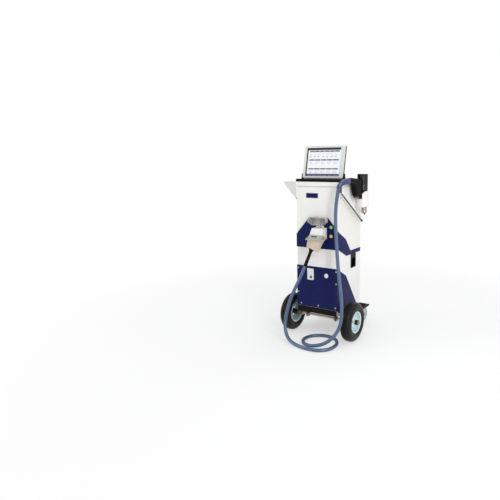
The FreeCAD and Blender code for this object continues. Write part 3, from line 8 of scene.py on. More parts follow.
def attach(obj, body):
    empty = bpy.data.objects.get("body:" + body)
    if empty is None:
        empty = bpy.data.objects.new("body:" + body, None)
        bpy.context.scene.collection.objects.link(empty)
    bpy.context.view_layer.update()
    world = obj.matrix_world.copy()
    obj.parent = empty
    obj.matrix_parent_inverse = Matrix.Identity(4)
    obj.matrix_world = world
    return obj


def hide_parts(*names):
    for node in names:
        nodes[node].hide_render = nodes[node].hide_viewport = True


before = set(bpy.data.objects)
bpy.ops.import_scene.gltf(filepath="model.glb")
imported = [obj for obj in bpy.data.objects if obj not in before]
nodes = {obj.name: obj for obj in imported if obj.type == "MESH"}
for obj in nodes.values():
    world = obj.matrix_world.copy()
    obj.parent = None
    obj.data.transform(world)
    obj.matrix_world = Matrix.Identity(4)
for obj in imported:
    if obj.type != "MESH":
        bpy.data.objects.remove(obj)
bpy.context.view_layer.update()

# helpers
MM = 0.001
SHIFT = Vector((0.0, -206.96, 0.0))   # from the column's frame to the part's frame, in mm


def at(x, y, z):
    """A point of the column's frame (X 0 in the middle, Y 0 at the front, Z 0 on the floor), in mm."""
    return (Vector((x, y, z)) + SHIFT) * MM


def link(obj):
    bpy.context.scene.collection.objects.link(obj)
    return obj


def piece(name, mesh, material):
    """An object made from an edited mesh, which is freed."""
    data = bpy.data.meshes.new(name)
    mesh.to_mesh(data)
    mesh.free()
    data.materials.append(material)
    return link(bpy.data.objects.new(name, data))


def circle(radius, sides):
    """Points of a circle round the origin, as pairs."""
    turns = [k * math.pi / (sides / 2) for k in range(sides)]
    return [(radius * math.cos(turn), radius * math.sin(turn)) for turn in turns]


# materials
class Nodes:
    """A material with short calls for its nodes."""

    def __init__(self, name):
        self.mat = bpy.data.materials.new(name)
        self.mat.use_nodes = True
        self.tree = self.mat.node_tree
        self.tree.nodes.clear()
        self.out = self.tree.nodes.new("ShaderNodeOutputMaterial")
        self.bsdf = self.tree.nodes.new("ShaderNodeBsdfPrincipled")
        self.tree.links.new(self.bsdf.outputs[0], self.out.inputs[0])
        coords = self.tree.nodes.new("ShaderNodeTexCoord")
        self.coords = coords.outputs["Object"]

    def new(self, kind, **props):
        node = self.tree.nodes.new("ShaderNode" + kind)
        for k, v in props.items():
            setattr(node, k, v)
        return node

    def put(self, node, name, value):
        socket = node.inputs[name]
        if hasattr(value, "links"):
            self.tree.links.new(value, socket)
        else:
            socket.default_value = value
        return node

    def noise(self, scale, detail=3.0, rough=0.55, coords=None, stretch=None):
        source = coords or self.coords
        if stretch:
            mapping = self.new("Mapping")
            self.put(mapping, "Vector", source)
            self.put(mapping, "Scale", stretch)
            source = mapping.outputs[0]
        node = self.new("TexNoise")
        self.put(node, "Vector", source)
        self.put(node, "Scale", scale)
        self.put(node, "Detail", detail)
        self.put(node, "Roughness", rough)
        return node.outputs[0]

    def ramp(self, fac, stops):
        node = self.new("ValToRGB")
        self.put(node, "Fac", fac)
        elements = node.color_ramp.elements
        while len(elements) < len(stops):
            elements.new(0.5)
        for element, (pos, col) in zip(elements, stops):
            element.position = pos
            element.color = (*col, 1) if len(col) == 3 else col
        return node.outputs[0]

    def remap(self, value, from_low, from_high, to_low=0.0, to_high=1.0):
        """A value carried from one range to another and held at both ends."""
        node = self.new("MapRange")
        self.put(node, "Value", value)
        self.put(node, "From Min", from_low)
        self.put(node, "From Max", from_high)
        self.put(node, "To Min", to_low)
        self.put(node, "To Max", to_high)
        return node.outputs[0]

    def spread(self, value, low, high):
        return self.remap(value, 0.0, 1.0, low, high)

    def math(self, op, a, b=0.0):
        node = self.new("Math", operation=op)
        self.put(node, 0, a)
        self.put(node, 1, b)
        return node.outputs[0]

    def mix(self, fac, a, b):
        node = self.new("MixRGB")
        self.put(node, "Fac", fac)
        self.put(node, "Color1", a)
        self.put(node, "Color2", b)
        return node.outputs[0]

    def height(self, axis):
        node = self.new("SeparateXYZ")
        self.put(node, 0, self.coords)
        return node.outputs[axis]

    def near_edge(self, radius):
        """Near 0 on flat ground and larger on the rim of an edge or corner."""
        bevel = self.new("Bevel", samples=4)
        self.put(bevel, "Radius", radius)
        geometry = self.new("NewGeometry")
        same = self.new("VectorMath", operation="DOT_PRODUCT")
        self.put(same, 0, bevel.outputs[0])
        self.put(same, 1, geometry.outputs["Normal"])
        return self.math("SUBTRACT", 1.0, same.outputs["Value"])

    def bump(self, height, strength, distance, edge=0.0):
        node = self.new("Bump")
        self.put(node, "Height", height)
        self.put(node, "Strength", strength)
        self.put(node, "Distance", distance)
        if edge:
            bevel = self.new("Bevel", samples=4)
            self.put(bevel, "Radius", edge)
            self.put(node, "Normal", bevel.outputs[0])
        self.put(self.bsdf, "Normal", node.outputs[0])


def shade(colour, factor):
    return tuple(max(0.0, min(1.0, c * factor)) for c in colour)


def surface(name, colour, rough=0.45, metal=0.0, tint=0.05, patch=7.0, grain=700.0, strength=0.15,
            depth=0.0002, edge=0.0009, dust=0.0, dust_top=0.3, spread=0.06, coat=0.0, stretch=None,
            ior=1.5, worn=None, specular=0.5, painted_shade_band=None):
    """Paint, plastic, rubber or metal: mottled colour, grain in bump and roughness, soft edges and, where
    asked, worn edges, a painted shade band that darkens from one height up to another, and dust that fades
    out with height."""
    m = Nodes(name)
    cloud = m.noise(patch, 4.0)
    base = m.ramp(cloud, [(0.3, shade(colour, 1 - tint)), (0.7, shade(colour, 1 + tint))])
    fine = m.noise(grain, 2.0, stretch=stretch)
    if worn:
        rub = m.math("MULTIPLY", m.near_edge(WORN_REACH), m.math("MULTIPLY", m.noise(70.0, 5.0), 9.0))
        base = m.mix(m.ramp(rub, [(0.45, (0, 0, 0)), (0.9, (0.7,) * 3)]), base, (*worn, 1))
    # painted shade: mixes in a dark tone that grows from the lower height to the upper one, standing in for
    # the shadow under a ledge
    if painted_shade_band:
        low, high, shade_strength = painted_shade_band
        base = m.mix(m.remap(m.height(2), low, high, 0.0, shade_strength), base, PAINTED_SHADE_TONE)
    if dust:
        fade = m.remap(m.height(2), 0.0, dust_top, dust, 0.0)
        base = m.mix(m.math("MULTIPLY", fade, m.noise(25.0, 6.0)), base, DUST)
    m.put(m.bsdf, "Base Color", base)
    blotches = m.noise(patch * 5, 5.0, stretch=stretch)
    m.put(m.bsdf, "Roughness", m.spread(blotches, rough - spread, rough + spread))
    m.put(m.bsdf, "Metallic", metal)
    m.put(m.bsdf, "IOR", ior)
    m.put(m.bsdf, "Specular IOR Level", specular)
    if coat:
        m.put(m.bsdf, "Coat Weight", coat)
        m.put(m.bsdf, "Coat Roughness", 0.08)
    m.bump(fine, strength, depth, edge)
    return m.mat


def srgb(r, g, b):
    """Linear colour of an 8-bit display colour."""
    return tuple(((c / 255 + 0.055) / 1.055) ** 2.4 if c > 10 else c / 255 / 12.92 for c in (r, g, b))


WHITE = srgb(235, 234, 230)
NAVY = srgb(12, 22, 78)
HOSE = srgb(48, 78, 116)
# colour of the painted shade band
PAINTED_SHADE_TONE = (0.10, 0.10, 0.10, 1)
DUST = (0.36, 0.33, 0.29, 1)
TYRE_DUST = (0.30, 0.26, 0.22, 1)
WORN_REACH = 0.0016

shell_mat = surface("shell_coat", WHITE, 0.42, tint=0.012, patch=3.0, grain=900.0, strength=0.12)
# painted shade: the column darkens from 1002 mm up to the top shelf's lip at 1014 mm, standing in for the
# shadow under the lip
column_mat = surface("column_coat", WHITE, 0.42, tint=0.012, patch=3.0, grain=900.0, strength=0.12,
                     painted_shade_band=(1.002, 1.014, 0.42))
panel_mat = surface("rear_coat", shade(WHITE, 0.97), 0.45, tint=0.012, patch=3.0, grain=900.0,
                    strength=0.12)
# painted shade: the gussets get the white coat at 80 %, standing in for the shadow they sit in under the
# shelf's wings
shaded_gusset_mat = surface("gusset_painted_shade_coat", shade(WHITE, 0.80), 0.45, tint=0.03, patch=5.0, grain=900.0,
                     strength=0.12)
navy_mat = surface("navy_coat", NAVY, 0.5, tint=0.10, patch=4.0, grain=800.0, strength=0.16, dust=0.03,
                   dust_top=0.45, worn=srgb(60, 70, 110), specular=0.14)
black_coat = surface("black_coat", srgb(11, 11, 13), 0.5, tint=0.2, patch=9.0, grain=650.0, strength=0.3,
                     dust=0.08, dust_top=0.24, worn=srgb(60, 58, 56), specular=0.10)
zinc = surface("bright_zinc", srgb(214, 212, 210), 0.36, 0.6, tint=0.08, patch=16.0, grain=420.0,
               strength=0.12, spread=0.12, dust=0.1, dust_top=0.16, stretch=(1, 9, 9))
axle_mat = surface("axle_steel", srgb(222, 208, 194), 0.4, 0.35, tint=0.06, patch=14.0, grain=420.0,
                   strength=0.12, spread=0.1, stretch=(1, 9, 9))
fork_zinc = surface("pressed_zinc", srgb(178, 178, 176), 0.36, 1.0, tint=0.1, patch=22.0, grain=500.0,
                    strength=0.15, spread=0.12, dust=0.4, dust_top=0.14)
yellow_zinc = surface("yellow_zinc", srgb(150, 128, 110), 0.45, 0.45, tint=0.28, patch=30.0, grain=500.0,
                      strength=0.15, spread=0.12, dust=0.2, dust_top=0.2)
rim_mat = surface("rim_enamel", srgb(196, 218, 222), 0.3, tint=0.05, patch=14.0, grain=420.0, strength=0.12,
                  dust=0.15, dust_top=0.3, coat=0.3, worn=srgb(140, 132, 122))
fitting_mat = surface("fitting_zinc", srgb(132, 134, 132), 0.4, 0.7, tint=0.1, patch=30.0, grain=420.0,
                      strength=0.15, spread=0.1, dust=0.1, dust_top=0.2)
screw_mat = surface("screw_zinc", srgb(184, 184, 182), 0.38, 0.7, tint=0.08, patch=30.0, grain=420.0,
                    strength=0.12, spread=0.1)
hub_mat = surface("hub_moulding", srgb(22, 26, 28), 0.45, tint=0.15, patch=30.0, grain=600.0, strength=0.25)
core_mat = surface("caster_core", srgb(206, 206, 204), 0.5, tint=0.06, patch=30.0, grain=700.0, dust=0.2,
                   dust_top=0.12)
tread_mat = surface("caster_rubber", srgb(16, 16, 17), 0.6, tint=0.15, patch=30.0, grain=500.0, strength=0.4,
                    dust=0.12, dust_top=0.12, specular=0.25)
black_plastic = surface("grained_black", srgb(10, 10, 12), 0.42, tint=0.15, patch=12.0, grain=1100.0,
                        strength=0.4, depth=0.0003, specular=0.09)
gloss_black = surface("gloss_black", srgb(5, 5, 7), 0.14, tint=0.2, patch=9.0, grain=260.0, strength=0.03,
                      spread=0.03, specular=0.4)
body_mat = surface("probe_coat", srgb(18, 20, 34), 0.26, tint=0.12, patch=16.0, grain=800.0, strength=0.15,
                   spread=0.04, specular=0.45)
white_plastic = surface("white_moulding", srgb(232, 230, 226), 0.38, tint=0.02, patch=11.0, grain=900.0,
                        strength=0.15)
flap_mat = surface("flap_moulding", srgb(222, 222, 220), 0.42, tint=0.03, patch=14.0, grain=900.0,
                   strength=0.25)
grey_plastic = surface("grey_moulding", srgb(168, 166, 158), 0.42, tint=0.06, patch=20.0, grain=900.0,
                       strength=0.3)
beige_plastic = surface("beige_moulding", srgb(204, 186, 172), 0.42, tint=0.07, patch=22.0, grain=900.0,
                        strength=0.3)
rubber_mat = surface("black_rubber", srgb(10, 11, 10), 0.5, tint=0.2, patch=30.0, grain=800.0, strength=0.4,
                     specular=0.12)
edging_mat = surface("edging_rubber", srgb(58, 58, 56), 0.6, tint=0.15, patch=30.0, grain=800.0, strength=0.3)
boot_mat = surface("boot_rubber", srgb(44, 52, 100), 0.26, tint=0.08, patch=18.0, grain=900.0, strength=0.15,
                   spread=0.04, specular=0.7)
nozzle_mat = surface("nozzle_steel", srgb(168, 158, 150), 0.2, 1.0, tint=0.1, patch=30.0, grain=900.0,
                     strength=0.12, spread=0.1, stretch=(6, 6, 60))
electrode_mat = surface("electrode_tip", srgb(40, 36, 34), 0.4, 0.3, tint=0.2, patch=90.0, grain=900.0)
cast_mat = surface("casting", srgb(170, 172, 174), 0.5, 0.8, tint=0.08, patch=9.0, grain=300.0, strength=0.4)

axle_line = at(0, 66, 130)
tread_blocks = 44.0
tread_inner = 0.112
tread_outer = 0.119
sidewall_waves = 2800.0
sidewall_relief = 0.12


def tyre_rubber():
    """Black tyre rubber: cross grooves on the shoulders of the tread, fine sidewall rings and floor dust."""
    m = Nodes("tyre_rubber")
    apart = m.new("VectorMath", operation="SUBTRACT")
    m.put(apart, 0, m.coords)
    m.put(apart, 1, tuple(axle_line))
    split = m.new("SeparateXYZ")
    m.put(split, 0, apart.outputs[0])
    turn = m.math("ARCTAN2", split.outputs[1], split.outputs[2])
    out = m.math("SQRT", m.math("ADD", m.math("POWER", split.outputs[1], 2.0),
                                m.math("POWER", split.outputs[2], 2.0)))
    blocks = m.math("SINE", m.math("MULTIPLY", turn, tread_blocks))
    groove = m.ramp(blocks, [(0.0, (0, 0, 0)), (0.25, (1, 1, 1))])
    tread = m.remap(out, tread_inner, tread_outer)
    rings = m.math("SINE", m.math("MULTIPLY", out, sidewall_waves))
    inside = m.math("SUBTRACT", sidewall_relief, m.math("MULTIPLY", tread, sidewall_relief))
    side = m.math("MULTIPLY", rings, inside)
    pattern = m.math("MULTIPLY", groove, tread)
    relief = m.math("ADD", m.math("ADD", pattern, side), m.math("MULTIPLY", m.noise(520.0, 2.0), 0.25))
    tone = m.ramp(m.noise(18.0, 4.0), [(0.3, srgb(9, 8, 8)), (0.7, srgb(20, 17, 15))])
    dusty = m.remap(m.height(2), 0.0, 0.3, 0.07, 0.015)
    m.put(m.bsdf, "Base Color", m.mix(m.math("MULTIPLY", dusty, m.noise(25.0, 6.0)), tone, TYRE_DUST))
    m.put(m.bsdf, "Roughness", m.spread(m.noise(60.0, 5.0), 0.3, 0.44))
    m.put(m.bsdf, "Specular IOR Level", 0.17)
    m.bump(relief, 0.55, 0.0012)
    return m.mat


tyre_mat = tyre_rubber()

# display housing: pale front bezel, with painted shade as dark grey on the shell behind it
shelf_top = 1040
base_height = 18
hinge_rise = 26.6
hinge_back = 84
hinge = Vector((0, hinge_back, shelf_top + base_height + hinge_rise))
lean_degrees = -12
lean = Matrix.Rotation(math.radians(lean_degrees), 4, "X")
bezel_front = -9.0
bezel_depth = 2.2


def housing():
    """Silver lacquer on the bezel's face; the sides and back are painted dark grey, as painted shade."""
    m = Nodes("display_housing")
    forward = lean @ Vector((0, -1, 0))
    face = at(*(hinge + lean @ Vector((0, bezel_front + bezel_depth, 0))))
    apart = m.new("VectorMath", operation="SUBTRACT")
    m.put(apart, 0, m.coords)
    m.put(apart, 1, tuple(face))
    ahead = m.new("VectorMath", operation="DOT_PRODUCT")
    m.put(ahead, 0, apart.outputs[0])
    m.put(ahead, 1, tuple(forward))
    front = m.math("GREATER_THAN", ahead.outputs["Value"], 0.0)
    fleck = m.noise(1300.0, 2.0)
    pale = m.ramp(fleck, [(0.3, srgb(208, 208, 208)), (0.7, srgb(222, 222, 221))])
    # painted shade: dark grey on the sides and back stands in for their shadow
    dark = m.ramp(m.noise(12.0, 3.0), [(0.3, srgb(24, 24, 28)), (0.7, srgb(34, 34, 38))])
    m.put(m.bsdf, "Base Color", m.mix(front, dark, pale))
    m.put(m.bsdf, "Roughness", m.spread(m.noise(60.0, 4.0), 0.34, 0.46))
    m.bump(m.noise(1100.0, 2.0), 0.2, 0.0002, 0.0009)
    return m.mat


housing_mat = housing()


def lens(name, colour, glow):
    """Translucent button plastic, lit a little from inside, with a faintly uneven surface."""
    m = Nodes(name)
    base = m.ramp(m.noise(120.0, 3.0), [(0.3, shade(colour, 0.85)), (0.7, shade(colour, 1.15))])
    m.put(m.bsdf, "Base Color", base)
    m.put(m.bsdf, "Roughness", m.spread(m.noise(90.0), 0.12, 0.26))
    m.put(m.bsdf, "Subsurface Weight", 0.15)
    m.put(m.bsdf, "Subsurface Radius", (0.004, 0.004, 0.004))
    m.put(m.bsdf, "Emission Color", (*colour, 1))
    m.put(m.bsdf, "Emission Strength", glow)
    m.bump(m.noise(300.0), 0.05, 0.0002, 0.001)
    return m.mat


green_mat = lens("green_lens", srgb(128, 200, 124), 0.10)
amber_mat = lens("amber_lens", srgb(226, 184, 138), 0.10)


# heights between which the connector's cover turns from milky to clear
milky_below = 0.768
clear_above = 0.773


def cover_plastic():
    """Clear plastic that is milky at its foot, with faint moulding streaks."""
    m = Nodes("smoked_cover")
    base = m.ramp(m.noise(30.0, 4.0), [(0.3, srgb(196, 194, 188)), (0.7, srgb(224, 222, 217))])
    m.put(m.bsdf, "Base Color", base)
    m.put(m.bsdf, "Roughness", m.spread(m.noise(60.0, 4.0), 0.12, 0.26))
    m.put(m.bsdf, "Transmission Weight", m.remap(m.height(2), milky_below, clear_above, 0.05, 0.5))
    m.put(m.bsdf, "IOR", 1.45)
    m.bump(m.noise(160.0, 2.0, stretch=(1, 1, 0.2)), 0.08, 0.0004, 0.0008)
    return m.mat


cover_mat = cover_plastic()

finish_of = {
    "column_shell": column_mat, "rear_panel": panel_mat, "top_shelf": shell_mat, "wing_gussets": shaded_gusset_mat,
    "side_bracket": shell_mat, "base_chassis": black_coat, "rear_outrigger": black_coat,
    "axle_brackets": yellow_zinc, "axle": axle_mat, "axle_fittings": fitting_mat, "caster_plates": fork_zinc,
    "rim_right": rim_mat, "rim_left": rim_mat, "hub_right": hub_mat, "hub_left": hub_mat,
    "tyre_right": tyre_mat, "tyre_left": tyre_mat,
    "caster_fork_right": fork_zinc, "caster_fork_left": fork_zinc, "caster_core_right": core_mat,
    "caster_core_left": core_mat, "caster_tread_right": tread_mat, "caster_tread_left": tread_mat,
    "lower_cover": navy_mat, "mid_band": navy_mat, "cover_screws": screw_mat, "button_bodies": black_plastic,
    "green_button": green_mat, "amber_button": amber_mat, "service_flap": flap_mat,
    "flap_latch": black_plastic, "service_panel": black_plastic, "port_cap": white_plastic,
    "side_handles": black_plastic, "bracket_edging": edging_mat, "probe_holder": white_plastic,
    "probe_cap": gloss_black, "probe_body": body_mat, "probe_head": body_mat, "probe_nozzle": nozzle_mat,
    "electrode": electrode_mat, "probe_grip": black_plastic, "probe_trigger": gloss_black,
    "hose": rubber_mat, "hose_boot": boot_mat, "dock_socket": white_plastic, "dock_cover": cover_mat,
    "plug_collar": grey_plastic, "plug_body": beige_plastic, "plug_lever": grey_plastic,
    "strain_relief": rubber_mat, "display_base": black_plastic, "display_housing": housing_mat,
    "display_screen": gloss_black, "inner_frame": zinc, "optic_chamber": cast_mat,
    "spark_source": cast_mat, "power_supply": cast_mat, "fan_frame": black_plastic,
    "fan_rotor": black_plastic,
}
for name, material in finish_of.items():
    mesh = nodes[name].data
    mesh.materials.clear()
    mesh.materials.append(material)

# hose
mate_point = Vector((33.0, -47.0, 702.0))
cable_drop = (35.6, 13.0, 82.4)
cable_axis = Vector((-0.27, -0.25, -0.93)).normalized()
cable_exit = Vector([a - b for a, b in zip(mate_point, cable_drop)])
relief_length = 122.0
hose_lead = 70
floor_line = 12.5
hose_start = cable_exit + cable_axis * relief_length
hose_route = [tuple(hose_start), tuple(hose_start + cable_axis * hose_lead),
              (-97, -126, 352), (-130, -136, 262), (-152, -146, 172), (-153, -161, 88), (-112, -184, 27),
              (-36, -208, floor_line), (50, -225.5, floor_line), (138, -214.5, floor_line),
              (191, -152, floor_line), (190, -62, floor_line), (136, 8, floor_line), (48, 26, floor_line),
              (-30, -16, floor_line), (-52, -100, floor_line), (0, -176, 15), (84, -193, 23),
              (157, -153, 43), (205, -105, 100), (229, -93, 176), (232, -90, 262), (220, -80, 352),
              (204, -74, 442), (190, -66, 530), (178, -58, 625), (167, -51, 725), (161, -47, 825),
              (164, -46, 915), (181, -46, 1008)]


def route_curve(name, points):
    """A smooth curve that starts and ends on the first and last point."""
    curve = bpy.data.curves.new(name, "CURVE")
    curve.dimensions = "3D"
    spline = curve.splines.new("NURBS")
    spline.points.add(len(points) - 1)
    for spot, p in zip(spline.points, points):
        spot.co = (*at(*p), 1)
    spline.order_u = 3
    spline.use_endpoint_u = True
    spline.resolution_u = 24
    return curve


hose_curve = route_curve("hose_line", hose_route)
line = link(bpy.data.objects.new("hose_line", hose_curve))
bpy.context.view_layer.update()
sampled = bpy.data.meshes.new_from_object(line)
path = [v.co.copy() for v in sampled.vertices]
bpy.data.objects.remove(line)


def even(points, step):
    """The same line with points at even spacing."""
    out = [points[0].copy()]
    need = step
    for a, b in zip(points, points[1:]):
        run = (b - a).length
        done = 0.0
        while run - done >= need:
            done += need
            out.append(a.lerp(b, done / run))
            need = step
        need -= run - done
    out.append(points[-1].copy())
    return out


def sleeve(name, points, radius, sides, material):
    """A tube round a line, where radius(ring number, share round the tube) gives its surface."""
    mesh = bmesh.new()
    rings = []
    side = None
    for i, p in enumerate(points):
        ahead = points[min(i + 1, len(points) - 1)] - points[max(i - 1, 0)]
        ahead.normalize()
        if side is None:
            side = ahead.orthogonal()
        side = (side - ahead * side.dot(ahead)).normalized()
        up = ahead.cross(side)
        ring = []
        for k in range(sides):
            angle = 2 * math.pi * k / sides
            r = radius(i, k / sides)
            ring.append(mesh.verts.new(p + (side * math.cos(angle) + up * math.sin(angle)) * r))
        rings.append(ring)
    for a, b in zip(rings, rings[1:]):
        for k in range(sides):
            mesh.faces.new((a[k], a[(k + 1) % sides], b[(k + 1) % sides], b[k]))
    mesh.faces.new(list(reversed(rings[0])))
    mesh.faces.new(rings[-1])
    tube = piece(name, mesh, material)
    for face in tube.data.polygons:
        face.use_smooth = len(face.vertices) == 4
    return tube


hose_mat = surface("hose_sleeve", HOSE, 0.3, tint=0.06, patch=12.0, grain=900.0, strength=0.12, edge=0.0,
                   dust=0.05, dust_top=0.06, spread=0.04, specular=1.0)
hose_radius = 0.0114
hose_groove = 0.00045
hose_sides = 20
ring_step = 0.0016
rings_per_groove = 3


def hose_surface(i, share):
    """Radius of the hose with its fine spiral groove."""
    wave = math.cos(2 * math.pi * (i / rings_per_groove + share))
    return hose_radius - hose_groove * (0.5 + 0.5 * wave)


hose = sleeve("hose_sleeve", even(path, ring_step), hose_surface, hose_sides, hose_mat)
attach(hose, "column")
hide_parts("hose")

# screen
screen_left = -130.5
screen_bottom = -11.0
glass_depth = bezel_front + 0.4
screen_w = 249.0
screen_h = 184.0
side_bar = 10.0
end_bar = 15.0
flat = 0.05
raised = 0.08
tab_pitch = 37
button_pitch = 39
field_pitch = 31
cell_pitch = 44.5
table_rows = (101, 43)


def on_screen(u, v, lift):
    """A point on the screen: u across and v up in mm from its lower left corner, lift towards the viewer."""
    local = Vector((screen_left + u, glass_depth - lift, screen_bottom + v))
    return at(*(hinge + lean @ local))


def glow(name, colour, strength=0.55):
    """Lit display colour behind glass, with a fine pixel grid and slow unevenness."""
    m = Nodes(name)
    cells = m.new("TexBrick")
    cells.offset = 0.0
    m.put(cells, "Vector", m.coords)
    m.put(cells, "Scale", 900.0)
    m.put(cells, "Mortar Size", 0.06)
    m.put(cells, "Color1", (*colour, 1))
    m.put(cells, "Color2", (*shade(colour, 0.96), 1))
    m.put(cells, "Mortar", (*shade(colour, 0.8), 1))
    uneven = m.ramp(m.noise(9.0, 2.0), [(0.3, (0.94,) * 3), (0.7, (1.0,) * 3)])
    lit = m.new("MixRGB", blend_type="MULTIPLY")
    m.put(lit, "Fac", 1.0)
    m.put(lit, "Color1", cells.outputs[0])
    m.put(lit, "Color2", uneven)
    m.put(m.bsdf, "Base Color", (*shade(colour, 0.35), 1))
    m.put(m.bsdf, "Emission Color", lit.outputs[0])
    m.put(m.bsdf, "Emission Strength", strength)
    m.put(m.bsdf, "Roughness", 0.12)
    return m.mat


screen_colours = {
    "black": glow("screen_black", srgb(24, 24, 26)),
    "header": glow("screen_header", srgb(128, 138, 148)),
    "white": glow("screen_white", srgb(246, 250, 255), 0.7),
    "dark": glow("screen_dark", srgb(74, 80, 70)),
    "violet": glow("screen_violet", srgb(50, 38, 92)),
    "pale": glow("screen_pale", srgb(214, 222, 234)),
}


def screen_boxes():
    """A generic result screen with no words: bars, tabs, buttons, fields and two tables. Each row holds a
    colour, the left and lower side, the width, the height and the lift."""
    rows = [("white", 0, 0, screen_w, screen_h, 0.0),
            ("black", 0, screen_h - end_bar, screen_w, end_bar, flat),
            ("black", 0, 0, side_bar, screen_h, flat),
            ("violet", side_bar, 0, screen_w - side_bar, end_bar, flat)]
    for k in range(6):
        rows.append(("header", 22 + k * tab_pitch, 156, 34, 10, flat))
        rows.append(("dark", 27 + k * tab_pitch, 159.5, 14 + (k * 7) % 11, 3, raised))
        rows.append(("header", 14 + k * button_pitch, 3, 32, 6, raised))
    for k in range(7):
        rows.append(("pale", 20 + k * field_pitch, 140, 20, 4, flat))
        rows.append(("pale", 20 + k * field_pitch, 122, 14 + (k * 5) % 9, 9, flat))
    for row, v in enumerate(table_rows):
        for k in range(5):
            rows.append(("dark", 20 + k * cell_pitch, v, 41, 8, flat))
            rows.append(("pale", 24 + k * cell_pitch, v - 12, 24 + (k * 5 + row * 3) % 9, 4, flat))
            rows.append(("pale", 24 + k * cell_pitch, v - 23, 30 - (k * 7 + row * 5) % 11, 4, flat))
    return rows


screen = bpy.data.meshes.new("screen_image")
build = bmesh.new()
keys = list(screen_colours)
for colour, u, v, w, h, lift in screen_boxes():
    corners = [build.verts.new(on_screen(a, b, 0.1 + lift))
               for a, b in ((u, v), (u + w, v), (u + w, v + h), (u, v + h))]
    face = build.faces.new(corners)
    face.material_index = keys.index(colour)
build.to_mesh(screen)
build.free()
for key in keys:
    screen.materials.append(screen_colours[key])
image = link(bpy.data.objects.new("screen_image", screen))
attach(image, "display")


# bare plate
def plate(name, x0, x1, y, z0, z1, thick, radius, material, body):
    """A thin rounded plate on the front face."""
    mesh = bmesh.new()
    bmesh.ops.create_cube(mesh, size=1.0)
    centre = at((x0 + x1) / 2, y - thick / 2, (z0 + z1) / 2)
    for v in mesh.verts:
        v.co = Vector((v.co.x * (x1 - x0) * MM, v.co.y * thick * MM, v.co.z * (z1 - z0) * MM)) + centre
    upright = [e for e in mesh.edges if abs((e.verts[0].co - e.verts[1].co).y) > thick * MM * 0.9]
    bmesh.ops.bevel(mesh, geom=upright, offset=radius * MM, segments=4, affect="EDGES", profile=0.5)
    obj = piece(name, mesh, material)
    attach(obj, body)
    return obj


name_plate = plate("name_plate", x0=-77, x1=10, y=0, z0=938, z1=969, thick=1.2, radius=1.5,
                   material=navy_mat, body="column")

# connector details
socket_axis = Vector((0.0, -0.43, -0.90)).normalized()
socket_up = socket_axis.cross(Vector((1, 0, 0)))


def on_socket(x, y, z):
    """A point of the collar's frame: X across, Y out of its front, Z down along the mating axis, in mm."""
    return mate_point + Vector((1, 0, 0)) * x + socket_up * y + socket_axis * z


def solid_box(name, corner_of, x0, x1, y0, y1, z0, z1, round_off, material, body):
    """A small block in a frame of its own, with rounded edges."""
    mesh = bmesh.new()
    bmesh.ops.create_cube(mesh, size=1.0)
    for v in mesh.verts:
        local = ((x0 + x1) / 2 + v.co.x * (x1 - x0), (y0 + y1) / 2 + v.co.y * (y1 - y0),
                 (z0 + z1) / 2 + v.co.z * (z1 - z0))
        v.co = at(*corner_of(*local))
    bmesh.ops.bevel(mesh, geom=mesh.edges[:], offset=round_off * MM, segments=2, affect="EDGES", profile=0.5)
    bmesh.ops.recalc_face_normals(mesh, faces=mesh.faces[:])
    obj = piece(name, mesh, material)
    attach(obj, body)
    return obj


collar_front = 27.0
# painted shade: three black blocks on the collar's front stand in for the shade inside its slots
recess_x = (-27.0, -13.0, 1.0)
recess_w = 11
for k, x in enumerate(recess_x):
    slot_shade = solid_box(f"collar_slot_shade_{k}", on_socket, x0=x, x1=x + recess_w, y0=collar_front - 0.6,
                     y1=collar_front + 0.25, z0=10, z1=17, round_off=0.4, material=rubber_mat, body="column")


# forms that stand for rigid nodes
def skin(name, rings, material, node=None, body="column", crease=38):
    """A closed skin over rings of points that have the same count."""
    mesh = bmesh.new()
    built = [[mesh.verts.new(at(*p)) for p in ring] for ring in rings]
    for a, b in zip(built, built[1:]):
        for k in range(len(a)):
            j = (k + 1) % len(a)
            mesh.faces.new((a[k], a[j], b[j], b[k]))
    mesh.faces.new(list(reversed(built[0])))
    mesh.faces.new(built[-1])
    bmesh.ops.recalc_face_normals(mesh, faces=mesh.faces[:])
    obj = piece(name, mesh, material)
    for face in obj.data.polygons:
        face.use_smooth = True
    obj.data.set_sharp_from_angle(angle=math.radians(crease))
    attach(obj, body)
    if node:
        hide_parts(node)
    return obj


def rounded_ring(frame_of, x0, x1, y0, y1, z, corner, steps=5):
    """A rounded rectangle in a frame of its own."""
    ring = []
    for cx, cy, start in ((x1 - corner, y1 - corner, 0), (x0 + corner, y1 - corner, 90),
                          (x0 + corner, y0 + corner, 180), (x1 - corner, y0 + corner, 270)):
        for k in range(steps):
            turn = math.radians(start + 90 * k / (steps - 1))
            ring.append(frame_of(cx + corner * math.cos(turn), cy + corner * math.sin(turn), z))
    return ring


cable_side = (Vector((1, 0, 0)) - cable_axis * cable_axis.x).normalized()
cable_up = cable_axis.cross(cable_side)


def on_cable(x, y, z):
    """A point of the relief's frame: X across, Y out of its front, Z along the cable, in mm."""
    return cable_exit + cable_side * x + cable_up * y + cable_axis * z


def blend_rings(first, last, share, swell=0.0):
    """A ring between two rings, pushed out from its middle by a share."""
    ring = [Vector(a).lerp(Vector(b), share) for a, b in zip(first, last)]
    middle = sum(ring, Vector()) / len(ring)
    return [middle + (p - middle) * (1 + swell) for p in ring]


seat_ring = rounded_ring(on_socket, x0=-44, x1=42, y0=-21, y1=21, z=7, corner=5)
mouth_ring = rounded_ring(on_socket, x0=-56.5, x1=42, y0=-22, y1=22, z=31, corner=6)
end_ring = rounded_ring(on_cable, x0=-33, x1=47, y0=-19, y1=19, z=0, corner=6)
face_ring = rounded_ring(on_cable, x0=-30, x1=44, y0=-16, y1=16, z=2.5, corner=5)
